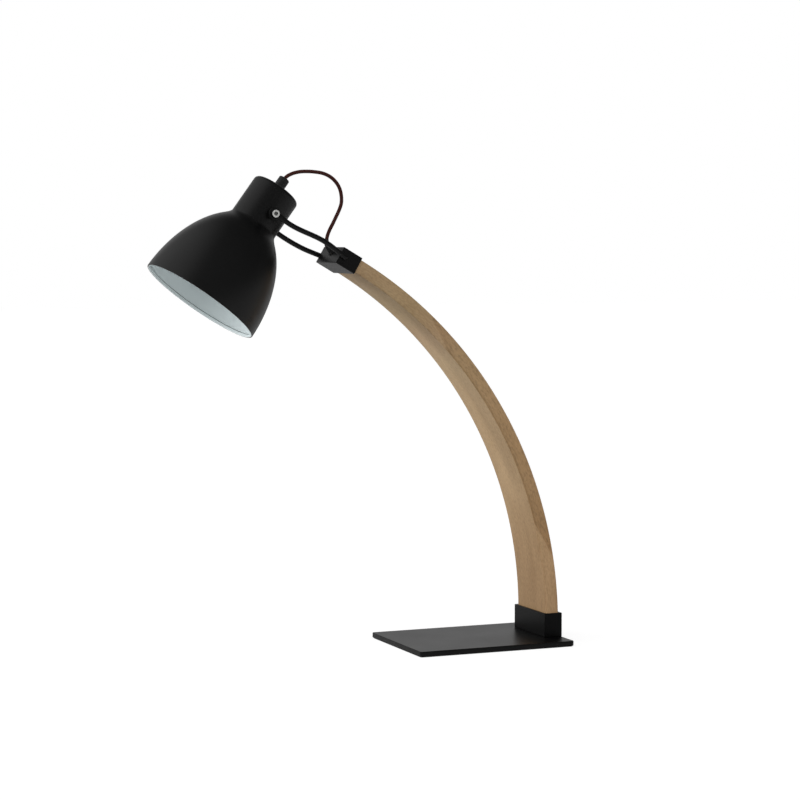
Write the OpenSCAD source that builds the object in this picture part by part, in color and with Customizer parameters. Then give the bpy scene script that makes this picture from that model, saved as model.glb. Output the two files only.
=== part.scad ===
// Table lamp: steel base plate, bent wooden arm, forked rods and a tilting bell shade.
// Millimetres. +Z is up, +X points from the shade to the arm's foot.
// The origin is the centre of the base's underside.

/* [Base] */
// Length of the base plate, from under the shade to the arm
plate_l = 187.4; // [160:0.1:260]
// Width of the base plate
plate_w = 142; // [110:1:200]
// Thickness of the base plate
plate_t = 5.6; // [3.5:0.1:8]
// Corner radius of the base plate
plate_corner_r = 3; // [1:0.5:12]
// Thickness of the soft pad under the plate
pad_t = 0.8; // [0.5:0.1:2]
// How far the pad stays inside the plate's edge
pad_inset = 1; // [0.5:0.5:10]
// Shank diameter of the screws that hold the socket
base_screw_d = 5; // [3:0.5:6]
// Spacing of the screws that hold the socket
base_screw_gap = 44; // [30:1:56]

/* [Arm socket] */
// Height of the socket above the plate
socket_h = 27.2; // [22:0.1:45]
// Wall of the socket
socket_wall = 2.6; // [1.5:0.1:4]
// Floor of the socket
socket_floor = 3; // [2:0.5:6]
// Gap between the arm's faces and the socket
arm_face_gap = 0.5; // [0.4:0.1:1]
// Gap between the arm's edges and the socket
arm_edge_gap = 0.4; // [0.3:0.1:1]
// Shank diameter of the screws through the socket's back
arm_screw_d = 5; // [3:0.5:6]
// Spacing of the screws through the socket's back
arm_screw_gap = 40; // [24:1:50]

/* [Arm] */
// Thickness of the wooden arm
arm_t = 15.5; // [12:0.1:22]
// Width of the arm where the bend starts
foot_w = 73; // [62:0.1:90]
// Width of the arm where the end cap starts
tip_w = 57.2; // [50:0.1:75]
// Radius of the arm's hollow face
arc_r = 458.2; // [380:0.1:560]
// Angle that the arm bends through
arc_end = 60; // [50:0.5:66]
// Straight foot of the arm above the plate
foot_h = 16.2; // [14:0.1:40]
// Thickness of the wooden strip that closes the cable groove
strip_t = 1.5; // [1:0.1:2.5]
// Clearance round the cable in its groove
groove_gap = 0.4; // [0.3:0.05:0.8]
// Angle up the bend at which the mains lead's inlet sits
inlet_a = 6; // [5:0.5:12]
// Bore of the mains lead's inlet
inlet_bore = 6; // [5:0.5:8]

/* [End cap] */
// Length of the end cap
cap_len = 24.5; // [20:0.1:36]
// Wall of the end cap
cap_wall = 2; // [1:0.1:2.5]
// Gap between the end cap and the wood
cap_gap = 0.1; // [0.05:0.05:0.4]
// Length of wood inside the end cap
tip_len = 10; // [8:0.5:12]

/* [Rods] */
// Diameter of the two rods
rod_d = 5.6; // [4:0.1:6.5]
// Length of a rod between its pin and its eye
rod_len = 93.8; // [88:0.1:130]
// Diameter of the pin at the rod's lower end
rod_pin_d = 4; // [3:0.1:4]
// How far the pin sits behind the cap's end face
rod_pin_back = 5.6; // [5:0.1:7]
// Gap between the rods and the end cap
rod_gap = 0.3; // [0.2:0.1:1.5]
// Diameter of the rod's eye
eye_d = 13; // [12:0.5:15]
// Thickness of the rod's eye
eye_t = 3; // [2.5:0.1:4]

/* [Pivot] */
// Shank diameter of the pivot screws
pivot_d = 5; // [4:0.1:6]
// Head diameter of the pivot screws
pivot_head_d = 9; // [8:0.5:11]
// Head height of the pivot screws
pivot_head_h = 2.8; // [2.2:0.1:4]
// Gap between the turning faces of the pivot
pivot_face_gap = 0.3; // [0.2:0.05:0.5]
// Running clearance of the pivot screw in the rod's eye, on the radius
pivot_fit = 0.05; // [0.02:0.01:0.1]
// Height of the pivot above the shade's rim
pivot_up = 118.6; // [114:0.1:124]
// How far the pivot sits behind the shade's axis
pivot_back = 3.2; // [0:0.1:5]

/* [Shade] */
// Diameter of the shade's rim
rim_d = 135; // [120:1:160]
// Height of the rounded curve that the bell follows
bell_h = 109.8; // [104:0.1:118]
// Fullness of that curve: 2 is an ellipse, less is flatter
bell_fullness = 1.95; // [1.8:0.01:2.2]
// Diameter of the neck
neck_d = 54.6; // [50:0.1:58]
// Height of the whole shade, from the rim to the top of the neck
shade_h = 149; // [146:0.5:165]
// Sheet thickness of the shade
shade_wall = 1; // [0.8:0.1:1.5]
// Radius of the neck's top edge
neck_edge_r = 4.5; // [2:0.1:8]
// Width of the folded hem inside the rim
hem_w = 4; // [2:0.5:8]
// Lean of the shade from upright
tilt = 36.4; // [20:0.1:50]

/* [Lampholder] */
// Diameter of the lampholder's shell
holder_d = 38; // [36:0.5:40]
// Depth of the shell's mouth below the top of the neck
holder_drop = 57; // [55:0.5:64]
// Length of the lampholder's shell
holder_shell_l = 31.8; // [30:0.1:33]
// Bore of the shell, for a bulb with a 27 mm screw base
holder_bore = 26.8; // [26.6:0.1:27.2]
// Wall of the lampholder's cap
holder_wall = 1.8; // [1.2:0.1:2.5]
// Thread diameter of the cord grip's shank
shank_d = 10; // [8:0.5:10.5]

/* [Bulb] */
// Diameter of the bulb
bulb_d = 55; // [45:1:58]
// Diameter of the bulb's screw base
bulb_base_d = 25.8; // [25.5:0.1:26.2]
// Length of the bulb's glass below its screw base
bulb_l = 71; // [62:0.5:75]
// Wall of the bulb's glass
bulb_wall = 0.8; // [0.6:0.1:1.2]

/* [Cord] */
// Diameter of the fabric cord
cord_d = 4; // [4:0.1:4.8]
// Clearance round the cord, on the radius
cord_gap = 0.15; // [0.1:0.05:0.3]
// Diameter of the cord grip
grip_d = 12.2; // [10.8:0.1:14]
// Height of the cord grip
grip_h = 14.7; // [7:0.1:18]

/* [Hidden] */
$fn = 96;

// Overlap that keeps cuts clean
cut = 1;
// Thickness of a thin touching gap between pieces of one body
seat = 0.05;

// Base and socket
base_top = pad_t + plate_t;
socket_l = arm_t + 2*arm_face_gap + 2*socket_wall;
socket_w = foot_w + 2*arm_edge_gap + 2*socket_wall;
socket_x = plate_l/2 - socket_l;
base_screw_head_d = 1.9*base_screw_d;
base_screw_head_h = (base_screw_head_d - base_screw_d)/2;
arm_screw_head_d = 1.8*arm_screw_d;
arm_screw_head_h = 0.5*arm_screw_d;
arm_screw_depth = 0.6*arm_t;
arm_screw_z = base_top + 0.55*socket_h;
hex_share = 0.58;
pivot_hex_share = 0.42;
hex_depth_share = 0.6;

// Arm: an arc about [arc_cx, arc_cz], with a straight foot and a straight tip
foot_x = socket_x + socket_wall + arm_face_gap;
arc_cx = foot_x - arc_r;
arc_cz = base_top + foot_h;
half_chord = arc_r*sin(arc_end/2);
taper_reach = half_chord + foot_h + tip_len;
taper = (tip_w - foot_w)/(4*half_chord);
arm_mid_w = (foot_w + tip_w)/2;

// Cable groove in the arm's outer face
cable_x = arm_t - strip_t - groove_gap - cord_d/2;
groove_w = cord_d + 2*groove_gap;
groove_x = cable_x - cord_d/2 - groove_gap;
inlet_pocket_d = 2*inlet_bore;
inlet_lip = 1.5;
inlet_flange_d = inlet_pocket_d + 2*inlet_lip;
inlet_flange_t = 2;
strip_start_a = inlet_a + asin((inlet_pocket_d/2 + cord_gap)/(arc_r + arm_t));

// End cap, in the frame of the arm's tip
cap_h = arm_t + 2*cap_gap + 2*cap_wall;
cap_w = tip_w + 2*cap_gap + 2*cap_wall;
cap_x = -cap_gap - cap_wall;
cap_screw_d = 3;
cap_screw_gap = 32;
cap_screw_head_d = cap_screw_d + 2*cap_wall;
cap_screw_depth = 0.45*arm_t;
grommet_wall = 1.5;
grommet_lip = 1.25;
grommet_body_d = cord_d + 2*cord_gap + 2*grommet_wall;
grommet_flange_d = grommet_body_d + 2*grommet_lip;
grommet_flange_t = 1.5;

// Rods, in the frame of the arm's tip: along Z from the pin to the eye
rod_x = arm_t/2;
rod_y = cap_w/2 + rod_gap + rod_d/2;
rod_pin_z = cap_len - rod_pin_back;
pivot_z = rod_pin_z + rod_len;
rod_pin_in = 4.5;
clip_d = 2*(rod_pin_back - cap_wall - rod_gap);
clip_t = 1.6;
eye_neck = 1.6*rod_d;
// Balls at the bends are a little thicker than the rod or cable, so the two never share a surface
bend_extra = 0.1;
// Bends of each rod: how far off the straight line, and how far from the pin
near_bends = [[2.8, 27], [-1, 74]];
far_bends = [[-4, 27], [-4.4, 56]];

// Pivot stack on each side, as distances from the middle plane
eye_in = rod_y - eye_t/2;
eye_out = rod_y + eye_t/2;
spacer_out = eye_in - pivot_face_gap;
washer_in = eye_out + pivot_face_gap;
washer_t = 0.8;
spacer_d = 2*pivot_d;
pivot_nut_d = 1.84*pivot_d;
pivot_nut_h = 0.8*pivot_d;
neck_in_r = neck_d/2 - shade_wall;
pivot_nut_in = sqrt(pow(neck_in_r, 2) - pow(pivot_back + pivot_nut_d/2, 2)) - pivot_nut_h;

// Place of the shade: its pivot meets the rods' eyes
pivot_x = arc_cx + (arc_r + rod_x)*cos(arc_end) - pivot_z*sin(arc_end);
pivot_zw = arc_cz + (arc_r + rod_x)*sin(arc_end) + pivot_z*cos(arc_end);
rim_x = pivot_x - pivot_back*cos(tilt) - pivot_up*sin(tilt);
rim_z = pivot_zw + pivot_back*sin(tilt) - pivot_up*cos(tilt);

// Shade
rim_r = rim_d/2;
neck_r = neck_d/2;
bell_steps = 40;
edge_steps = 8;
neck_meet_a = acos(pow(neck_r/rim_r, bell_fullness/2));
neck_inner_meet_a = acos(pow(neck_in_r/(rim_r - shade_wall), bell_fullness/2));
hem_a = asin(pow(hem_w/(bell_h - shade_wall), bell_fullness/2));

// Lampholder and cord grip, as heights above the rim
neck_in_top = shade_h - shade_wall;
lock_nut_t = 3;
lock_nut_af = 1.4*shank_d;
holder_cap_top = neck_in_top - lock_nut_t - seat;
holder_mouth = shade_h - holder_drop;
shell_top = holder_mouth + holder_shell_l;
block_t = 10;
block_ledge = 2.6;
block_sink = 2.8;
block_r = holder_bore/2 + block_ledge;
block_low = shell_top - block_sink;
cap_r = block_r + cord_gap + holder_wall;
shank_reach = 9;
collar_wall = 2;
shank_low = holder_cap_top - shank_reach;
collar_d = shank_d + 2*collar_wall;
grip_top = shade_h + grip_h;
grip_screw_d = 3;

// Bulb, as heights above the rim
bulb_sink = 1;
bulb_base_l = 23;
bulb_tip_l = 2.5;
bulb_join = holder_mouth + bulb_sink;
bulb_mid = bulb_join - bulb_l + bulb_d/2;
bulb_neck_r = bulb_base_d/2;
bulb_base_top = bulb_join + bulb_base_l;
bulb_tip_top = bulb_base_top + bulb_tip_l;
bulb_tip_r = 6;
bulb_steps = 24;

// Free cord from the grip to the end cap, in the plane Y = 0: chosen points between its ends
cord_sides = 10;
cord_route = [[-221, 523.1], [-216, 525.7], [-208, 527.9], [-198, 528.6], [-188, 528.1],
    [-179, 526.6], [-171, 523.1], [-164.5, 517.6], [-160, 510.6], [-158, 502.6],
    [-158, 494.6], [-160.5, 487.1], [-164.2, 479.6], [-168.3, 471.6], [-172.3, 464.1],
    [-174.8, 457.1], [-175.3, 450.6], [-173.6, 445.6]];
cord_start = [rim_x + grip_top*sin(tilt), rim_z + grip_top*cos(tilt)];
cord_end_z = cap_len + grommet_flange_t;
cord_end = [arc_cx + (arc_r + cable_x)*cos(arc_end) - cord_end_z*sin(arc_end),
    arc_cz + (arc_r + cable_x)*sin(arc_end) + cord_end_z*cos(arc_end)];
cord_points = concat([cord_start], cord_route, [cord_end]);
cord_start_dir = [sin(tilt), cos(tilt)];
cord_end_dir = [sin(arc_end), -cos(arc_end)];

// Frames and shared shapes

// Frame on the arm's hollow face at an angle up the bend: X outward, Z along the arm
module on_arm(angle) {
    translate([arc_cx, 0, arc_cz])
        rotate([0, -angle, 0])
            translate([arc_r, 0, 0])
                children();
}

// Frame of the shade: Z along its axis from the rim to the neck
module on_shade() {
    translate([rim_x, 0, rim_z])
        rotate([0, tilt, 0])
            children();
}

// Frame of the pivot on one side: Z points away from the middle plane
module on_pivot(side) {
    on_shade()
        translate([pivot_back, 0, pivot_up])
            rotate([-90*side, 0, 0])
                children();
}

// Sector of a ring about the arm's bend, from one angle to another
module arm_ring(from_a, to_a, from_x, thick, wide) {
    translate([arc_cx, 0, arc_cz])
        rotate([90, 0, 0])
            rotate([0, 0, from_a])
                rotate_extrude(angle = to_a - from_a, $fn = 360)
                    translate([arc_r + from_x, -wide/2])
                        square([thick, wide]);
}

// Flat plate with rounded corners, centred in X and Y
module rounded_plate(long, wide, thick, radius) {
    linear_extrude(thick)
        union() {
            square([long - 2*radius, wide], center = true);
            square([long, wide - 2*radius], center = true);
            for (sx = [-1, 1], sy = [-1, 1])
                translate([sx*(long/2 - radius), sy*(wide/2 - radius)])
                    circle(radius);
        }
}

// Ring or tube along Z
module tube(outer_d, inner_d, long) {
    difference() {
        cylinder(d = outer_d, h = long);
        translate([0, 0, -cut])
            cylinder(d = inner_d, h = long + 2*cut);
    }
}

// Six-sided prism along Z, measured across its flats
module hexagon(across_flats, long) {
    cylinder(d = across_flats/cos(30), h = long, $fn = 6);
}

// Round bar between two points with rounded ends
module bar(from, to, diameter) {
    span = to - from;
    reach = norm(span);
    translate(from)
        rotate([0, acos(span[2]/reach), atan2(span[1], span[0])])
            cylinder(d = diameter, h = reach);
    translate(to)
        sphere(d = diameter + bend_extra);
}

// Base

module base_plate() {
    color([0.11, 0.11, 0.12])
        difference() {
            translate([0, 0, pad_t])
                rounded_plate(plate_l, plate_w, plate_t, plate_corner_r);
            for (side = [-1, 1])
                translate([socket_x + socket_l/2, side*base_screw_gap/2, pad_t - cut]) {
                    cylinder(d = base_screw_d + 2*seat, h = plate_t + 2*cut);
                    cylinder(d1 = base_screw_head_d + 2*cut + 2*seat, d2 = base_screw_d + 2*seat,
                        h = base_screw_head_h + cut);
                }
        }
}

module base_pad() {
    color([0.2, 0.2, 0.2])
        rounded_plate(plate_l - 2*pad_inset, plate_w - 2*pad_inset, pad_t, plate_corner_r);
}

module base_screws() {
    color([0.55, 0.55, 0.57])
        for (side = [-1, 1])
            translate([socket_x + socket_l/2, side*base_screw_gap/2, pad_t]) {
                cylinder(d1 = base_screw_head_d, d2 = base_screw_d, h = base_screw_head_h);
                cylinder(d = base_screw_d, h = plate_t + socket_floor);
            }
}

module arm_socket() {
    color([0.09, 0.09, 0.1])
        difference() {
            translate([socket_x, -socket_w/2, base_top])
                cube([socket_l, socket_w, socket_h]);
            translate([socket_x + socket_wall, -socket_w/2 + socket_wall, base_top + socket_floor])
                cube([socket_l - 2*socket_wall, socket_w - 2*socket_wall, socket_h]);
            for (side = [-1, 1]) {
                translate([socket_x + socket_l/2, side*base_screw_gap/2, base_top - cut])
                    cylinder(d = base_screw_d + 2*seat, h = socket_floor + 2*cut);
                translate([plate_l/2 - socket_wall - cut, side*arm_screw_gap/2, arm_screw_z])
                    rotate([0, 90, 0])
                        cylinder(d = arm_screw_d + 2*seat, h = socket_wall + 2*cut);
            }
        }
}

module arm_screws() {
    color([0.12, 0.12, 0.13])
        for (side = [-1, 1])
            translate([plate_l/2, side*arm_screw_gap/2, arm_screw_z])
                rotate([0, 90, 0])
                    difference() {
                        union() {
                            cylinder(d = arm_screw_head_d, h = arm_screw_head_h);
                            translate([0, 0, -socket_wall - arm_face_gap - arm_screw_depth])
                                cylinder(d = arm_screw_d,
                                    h = socket_wall + arm_face_gap + arm_screw_depth + cut);
                        }
                        translate([0, 0, arm_screw_head_h*(1 - hex_depth_share)])
                            hexagon(hex_share*arm_screw_d, arm_screw_head_h);
                    }
}

// Arm

// Slab that narrows from the arm's foot to its tip
module taper_slab() {
    translate([arc_cx, 0, arc_cz])
        rotate([0, -arc_end/2, 0])
            translate([arc_r*cos(arc_end/2) - 2*arm_t, 0, 0])
                rotate([0, 90, 0])
                    linear_extrude(arc_r*(1 - cos(arc_end/2)) + 5*arm_t)
                        polygon([
                            for (end = [-1, 1], side = [-1, 1])
                                [-end*taper_reach,
                                    end*side*(arm_mid_w/2 + end*taper*taper_reach)]
                        ]);
}

module wood_arm() {
    color([0.80, 0.62, 0.44])
        difference() {
            intersection() {
                union() {
                    translate([foot_x, -foot_w, base_top + socket_floor])
                        cube([arm_t, 2*foot_w, foot_h - socket_floor]);
                    arm_ring(0, arc_end, 0, arm_t, 2*foot_w);
                    on_arm(arc_end)
                        translate([0, -foot_w, 0])
                            cube([arm_t, 2*foot_w, tip_len]);
                }
                taper_slab();
            }
            arm_ring(inlet_a, arc_end, groove_x, arm_t, groove_w);
            on_arm(arc_end) {
                translate([groove_x - seat, -groove_w/2 - seat, -cut])
                    cube([arm_t, groove_w + 2*seat, tip_len + 2*cut]);
                for (side = [-1, 1])
                    translate([arm_t - cap_screw_depth, side*cap_screw_gap/2, tip_len/2])
                        rotate([0, 90, 0])
                            cylinder(d = cap_screw_d + 2*seat, h = arm_t);
            }
            on_arm(inlet_a)
                translate([groove_x, 0, 0])
                    rotate([0, 90, 0])
                        cylinder(d = inlet_pocket_d, h = arm_t);
            for (side = [-1, 1])
                translate([foot_x + arm_t - arm_screw_depth, side*arm_screw_gap/2, arm_screw_z])
                    rotate([0, 90, 0])
                        cylinder(d = arm_screw_d + 2*seat, h = arm_t);
        }
}

module groove_strip() {
    color([0.70, 0.52, 0.35])
        arm_ring(strip_start_a, arc_end - seat, arm_t - strip_t, strip_t, groove_w - 2*seat);
}

module arm_cable() {
    color([0.36, 0.17, 0.13]) {
        translate([arc_cx, 0, arc_cz])
            rotate([90, 0, 0])
                rotate([0, 0, inlet_a])
                    rotate_extrude(angle = arc_end - inlet_a, $fn = 360)
                        translate([arc_r + cable_x, 0])
                            circle(d = cord_d, $fn = 32);
        on_arm(arc_end)
            translate([cable_x, 0, 0]) {
                cylinder(d = cord_d, h = cord_end_z, $fn = 32);
                sphere(d = cord_d + bend_extra, $fn = 32);
            }
    }
}

module inlet_bush() {
    color([0.08, 0.08, 0.08])
        on_arm(inlet_a)
            translate([arm_t, 0, 0])
                rotate([0, 90, 0])
                    difference() {
                        union() {
                            cylinder(d = inlet_flange_d, h = inlet_flange_t);
                            translate([0, 0, -strip_t])
                                cylinder(d = inlet_pocket_d - 2*seat, h = strip_t + cut);
                        }
                        translate([0, 0, -strip_t - cut])
                            cylinder(d = inlet_bore, h = strip_t + inlet_flange_t + 2*cut);
                    }
}

// End cap

module end_cap() {
    color([0.10, 0.10, 0.11])
        on_arm(arc_end)
            difference() {
                translate([cap_x, -cap_w/2, 0])
                    cube([cap_h, cap_w, cap_len]);
                translate([cap_x + cap_wall, -cap_w/2 + cap_wall, -cut])
                    cube([cap_h - 2*cap_wall, cap_w - 2*cap_wall, cap_len - cap_wall + cut]);
                translate([cable_x, 0, cap_len - cap_wall - cut])
                    cylinder(d = grommet_body_d + 2*seat, h = cap_wall + 2*cut);
                translate([rod_x, -cap_w, rod_pin_z])
                    rotate([-90, 0, 0])
                        cylinder(d = rod_pin_d + 2*seat, h = 2*cap_w);
                for (side = [-1, 1])
                    translate([cap_x + cap_h - cap_wall, side*cap_screw_gap/2, tip_len/2])
                        rotate([0, 90, 0])
                            translate([0, 0, -seat])
                                cylinder(d1 = cap_screw_d + 2*seat,
                                    d2 = cap_screw_head_d + 4*seat, h = cap_wall + 2*seat);
            }
}

module cap_screws() {
    color([0.12, 0.12, 0.13])
        on_arm(arc_end)
            for (side = [-1, 1])
                translate([cap_x + cap_h - cap_wall, side*cap_screw_gap/2, tip_len/2])
                    rotate([0, 90, 0]) {
                        cylinder(d1 = cap_screw_d, d2 = cap_screw_head_d, h = cap_wall);
                        translate([0, 0, -cap_gap - cap_screw_depth])
                            cylinder(d = cap_screw_d, h = cap_gap + cap_screw_depth + cap_wall/2);
                    }
}

module cap_grommet() {
    color([0.12, 0.10, 0.10])
        on_arm(arc_end)
            translate([cable_x, 0, cap_len]) {
                tube(grommet_flange_d, cord_d + 2*cord_gap, grommet_flange_t);
                translate([0, 0, -cap_wall])
                    tube(grommet_body_d, cord_d + 2*cord_gap, cap_wall);
            }
}

// Rods

// One rod: an eye for the pivot screw, a bent bar and a pin that hooks into the cap
module rod(side, bends) {
    y = side*rod_y;
    path = concat([[rod_x, y, rod_pin_z]],
        [for (b = bends) [rod_x + b[0], y, rod_pin_z + b[1]]],
        [[rod_x, y, pivot_z - eye_neck]]);
    on_arm(arc_end)
        difference() {
            union() {
                translate(path[0])
                    sphere(d = rod_d + bend_extra);
                for (i = [0:len(path) - 2])
                    bar(path[i], path[i + 1], rod_d);
                translate([rod_x, side*(cap_w/2 - cap_wall - rod_pin_in), rod_pin_z])
                    rotate([-90*side, 0, 0])
                        cylinder(d = rod_pin_d, h = rod_y - cap_w/2 + cap_wall + rod_pin_in);
                translate([rod_x, y - eye_t/2, pivot_z])
                    rotate([-90, 0, 0])
                        cylinder(d = eye_d, h = eye_t);
                translate([rod_x - rod_d/2, y - eye_t/2, pivot_z - eye_neck])
                    cube([rod_d, eye_t, eye_neck - eye_d/2 + cut]);
            }
            translate([rod_x, y - eye_t, pivot_z])
                rotate([-90, 0, 0])
                    cylinder(d = pivot_d + 2*pivot_fit, h = 2*eye_t);
        }
}

module near_rod() {
    color([0.07, 0.07, 0.07])
        rod(-1, near_bends);
}

module far_rod() {
    color([0.07, 0.07, 0.07])
        rod(1, far_bends);
}

module rod_clips() {
    color([0.5, 0.5, 0.52])
        on_arm(arc_end)
            for (side = [-1, 1])
                translate([rod_x, side*(cap_w/2 - cap_wall - seat), rod_pin_z])
                    rotate([90*side, 0, 0])
                        tube(clip_d, rod_pin_d + seat, clip_t);
}

// Shade and pivot

// Point on the bell's curve, outside or a little way in
function bell_point(a, inset) =
    [(rim_r - inset)*pow(cos(a), 2/bell_fullness), (bell_h - inset)*pow(sin(a), 2/bell_fullness)];

// Half section of the bell, from the rim to the foot of the neck
module bell_section() {
    outer = [for (i = [0:bell_steps]) bell_point(neck_meet_a*i/bell_steps, 0)];
    inner = [for (i = [bell_steps:-1:0])
        bell_point(hem_a + (neck_inner_meet_a - hem_a)*i/bell_steps, shade_wall)];
    hem = [[inner[bell_steps][0] - shade_wall, hem_w], [rim_r - 2*shade_wall, 0]];
    polygon(concat(outer, inner, hem));
}

// Half section of the neck: a cup that stands on the bell's top edge
module neck_section() {
    edge = [for (i = [0:edge_steps])
        let (a = 90*i/edge_steps)
            [neck_r - neck_edge_r*(1 - cos(a)), shade_h - neck_edge_r*(1 - sin(a))]];
    inner_edge_r = max(neck_edge_r - shade_wall, shade_wall);
    inner_edge = [for (i = [edge_steps:-1:0])
        let (a = 90*i/edge_steps)
            [neck_in_r - inner_edge_r*(1 - cos(a)), neck_in_top - inner_edge_r*(1 - sin(a))]];
    foot = [bell_point(neck_inner_meet_a, shade_wall) + [0, seat],
        bell_point(neck_meet_a, 0) + [0, seat]];
    polygon(concat(edge, [[0, shade_h], [0, neck_in_top]], inner_edge, foot));
}

module shade() {
    color([0.09, 0.09, 0.10])
        on_shade()
            rotate_extrude()
                bell_section();
}

module neck_cup() {
    color([0.09, 0.09, 0.10])
        difference() {
            on_shade()
                difference() {
                    rotate_extrude()
                        neck_section();
                    translate([0, 0, neck_in_top - cut])
                        cylinder(d = shank_d + 4*seat, h = shade_wall + 2*cut);
                }
            for (side = [-1, 1])
                on_pivot(side)
                    cylinder(d = pivot_d + 4*seat, h = neck_d);
        }
}

// Tubes that stand the eyes off the neck, hollowed to sit on it
module pivot_spacers() {
    color([0.08, 0.08, 0.09])
        difference() {
            for (side = [-1, 1])
                on_pivot(side)
                    translate([0, 0, neck_in_r - spacer_d/2])
                        tube(spacer_d, pivot_d + 2*seat, spacer_out - neck_in_r + spacer_d/2);
            on_shade()
                translate([0, 0, pivot_up - spacer_d])
                    cylinder(r = neck_r + seat, h = 2*spacer_d);
        }
}

module pivot_washers() {
    color([0.25, 0.25, 0.26])
        for (side = [-1, 1])
            on_pivot(side)
                translate([0, 0, washer_in])
                    tube(spacer_d, pivot_d + 2*seat, washer_t);
}

module pivot_screws() {
    color([0.80, 0.80, 0.80])
        for (side = [-1, 1])
            on_pivot(side)
                difference() {
                    union() {
                        translate([0, 0, pivot_nut_in - seat])
                            cylinder(d = pivot_d, h = washer_in + washer_t - pivot_nut_in + cut);
                        translate([0, 0, washer_in + washer_t])
                            cylinder(d = pivot_head_d, h = pivot_head_h);
                    }
                    translate([0, 0, washer_in + washer_t + pivot_head_h*(1 - hex_depth_share)])
                        hexagon(pivot_hex_share*pivot_head_d, pivot_head_h);
                }
}

module pivot_nuts() {
    color([0.6, 0.6, 0.62])
        intersection() {
            for (side = [-1, 1])
                on_pivot(side)
                    translate([0, 0, pivot_nut_in])
                        difference() {
                            hexagon(pivot_nut_d, neck_r);
                            translate([0, 0, -cut])
                                cylinder(d = pivot_d + 2*seat, h = neck_r + 2*cut);
                        }
            on_shade()
                translate([0, 0, pivot_up - pivot_nut_d])
                    cylinder(r = neck_in_r - seat, h = 2*pivot_nut_d);
        }
}

// Cord grip and lampholder

module cord_grip() {
    color([0.07, 0.07, 0.07])
        on_shade()
            difference() {
                union() {
                    translate([0, 0, shade_h])
                        cylinder(d = grip_d, h = grip_h);
                    translate([0, 0, shank_low])
                        cylinder(d = shank_d, h = shade_h - shank_low + cut);
                }
                translate([0, 0, shank_low - cut])
                    cylinder(d = cord_d + 2*cord_gap, h = grip_top - shank_low + 2*cut);
                translate([0, 0, shade_h + grip_h/2])
                    rotate([0, 90, 0])
                        cylinder(d = grip_screw_d + 2*seat, h = grip_d);
            }
}

// Small screw in the grip's side that holds the cord
module grip_screw() {
    color([0.15, 0.15, 0.15])
        on_shade()
            translate([cord_d/2 + seat, 0, shade_h + grip_h/2])
                rotate([0, 90, 0])
                    cylinder(d = grip_screw_d, h = grip_d/2 - cord_d/2 - 4*seat);
}

module lock_nut() {
    color([0.6, 0.6, 0.6])
        on_shade()
            translate([0, 0, neck_in_top - lock_nut_t])
                difference() {
                    hexagon(lock_nut_af, lock_nut_t);
                    translate([0, 0, -cut])
                        cylinder(d = shank_d + 2*seat, h = lock_nut_t + 2*cut);
                }
}

module holder_cap() {
    color([0.13, 0.13, 0.13])
        on_shade()
            difference() {
                union() {
                    translate([0, 0, shell_top + seat])
                        difference() {
                            cylinder(r = cap_r, h = holder_cap_top - shell_top - seat);
                            translate([0, 0, -cut])
                                cylinder(r = cap_r - holder_wall,
                                    h = holder_cap_top - shell_top - holder_wall + cut);
                        }
                    translate([0, 0, shank_low])
                        cylinder(d = collar_d, h = holder_cap_top - shank_low);
                }
                translate([0, 0, shank_low - cut])
                    cylinder(d = shank_d + 2*seat, h = holder_cap_top - shank_low + 2*cut);
            }
}

module contact_block() {
    color([0.92, 0.91, 0.88])
        on_shade()
            translate([0, 0, block_low])
                cylinder(r = block_r, h = block_t);
}

// Middle tongue and side tab under the block
module lamp_contacts() {
    color([0.78, 0.62, 0.28])
        on_shade() {
            translate([0, 0, bulb_tip_top + seat])
                cylinder(d = cord_d, h = block_low - bulb_tip_top - seat);
            translate([bulb_tip_r + cord_d/2, -cord_d/2, bulb_base_top + seat])
                cube([1, cord_d, block_low - bulb_base_top - seat]);
        }
}

module holder_shell() {
    color([0.12, 0.12, 0.12])
        on_shade()
            difference() {
                translate([0, 0, holder_mouth])
                    cylinder(d = holder_d, h = holder_shell_l);
                translate([0, 0, holder_mouth - cut])
                    cylinder(d = holder_bore, h = holder_shell_l + 2*cut);
                translate([0, 0, block_low])
                    cylinder(r = block_r + cord_gap, h = holder_shell_l);
            }
}

// Cord inside the grip and the two wires from it to the block
module holder_leads() {
    wire_d = cord_d/2 - seat;
    wire_top = shank_low - cord_d/2;
    color([0.36, 0.17, 0.13])
        on_shade() {
            translate([0, 0, wire_top])
                cylinder(d = cord_d, h = grip_top - wire_top, $fn = 32);
            for (side = [-1, 1])
                translate([0, side*cord_d/4, block_low + block_t])
                    cylinder(d = wire_d, h = wire_top - block_low - block_t + seat, $fn = 24);
        }
}

// Bulb

// Half section of the bulb's glass: a globe that draws in to the base, hollow and open on top
function bulb_r(h, grow) = bulb_neck_r + grow
    + (bulb_d/2 - bulb_neck_r)*(0.5 + 0.5*cos(180*(h - bulb_mid)/(bulb_join - bulb_mid)));

function bulb_side(grow) = concat(
    [for (i = [0:bulb_steps])
        let (a = -90 + 90*i/bulb_steps)
            [(bulb_d/2 + grow)*cos(a), bulb_mid + (bulb_d/2 + grow)*sin(a)]],
    [for (i = [1:bulb_steps])
        let (h = bulb_mid + (bulb_join - bulb_mid)*i/bulb_steps)
            [bulb_r(h, grow), h]]);

module bulb_glass() {
    outside = bulb_side(0);
    inside = bulb_side(-bulb_wall);
    color([0.95, 0.95, 0.92])
        on_shade()
            rotate_extrude()
                polygon(concat(outside, [for (i = [len(inside) - 1:-1:0]) inside[i]]));
}

module bulb_base() {
    color([0.75, 0.75, 0.76])
        on_shade()
            translate([0, 0, bulb_join])
                cylinder(d = bulb_base_d, h = bulb_base_top - bulb_join);
}

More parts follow.
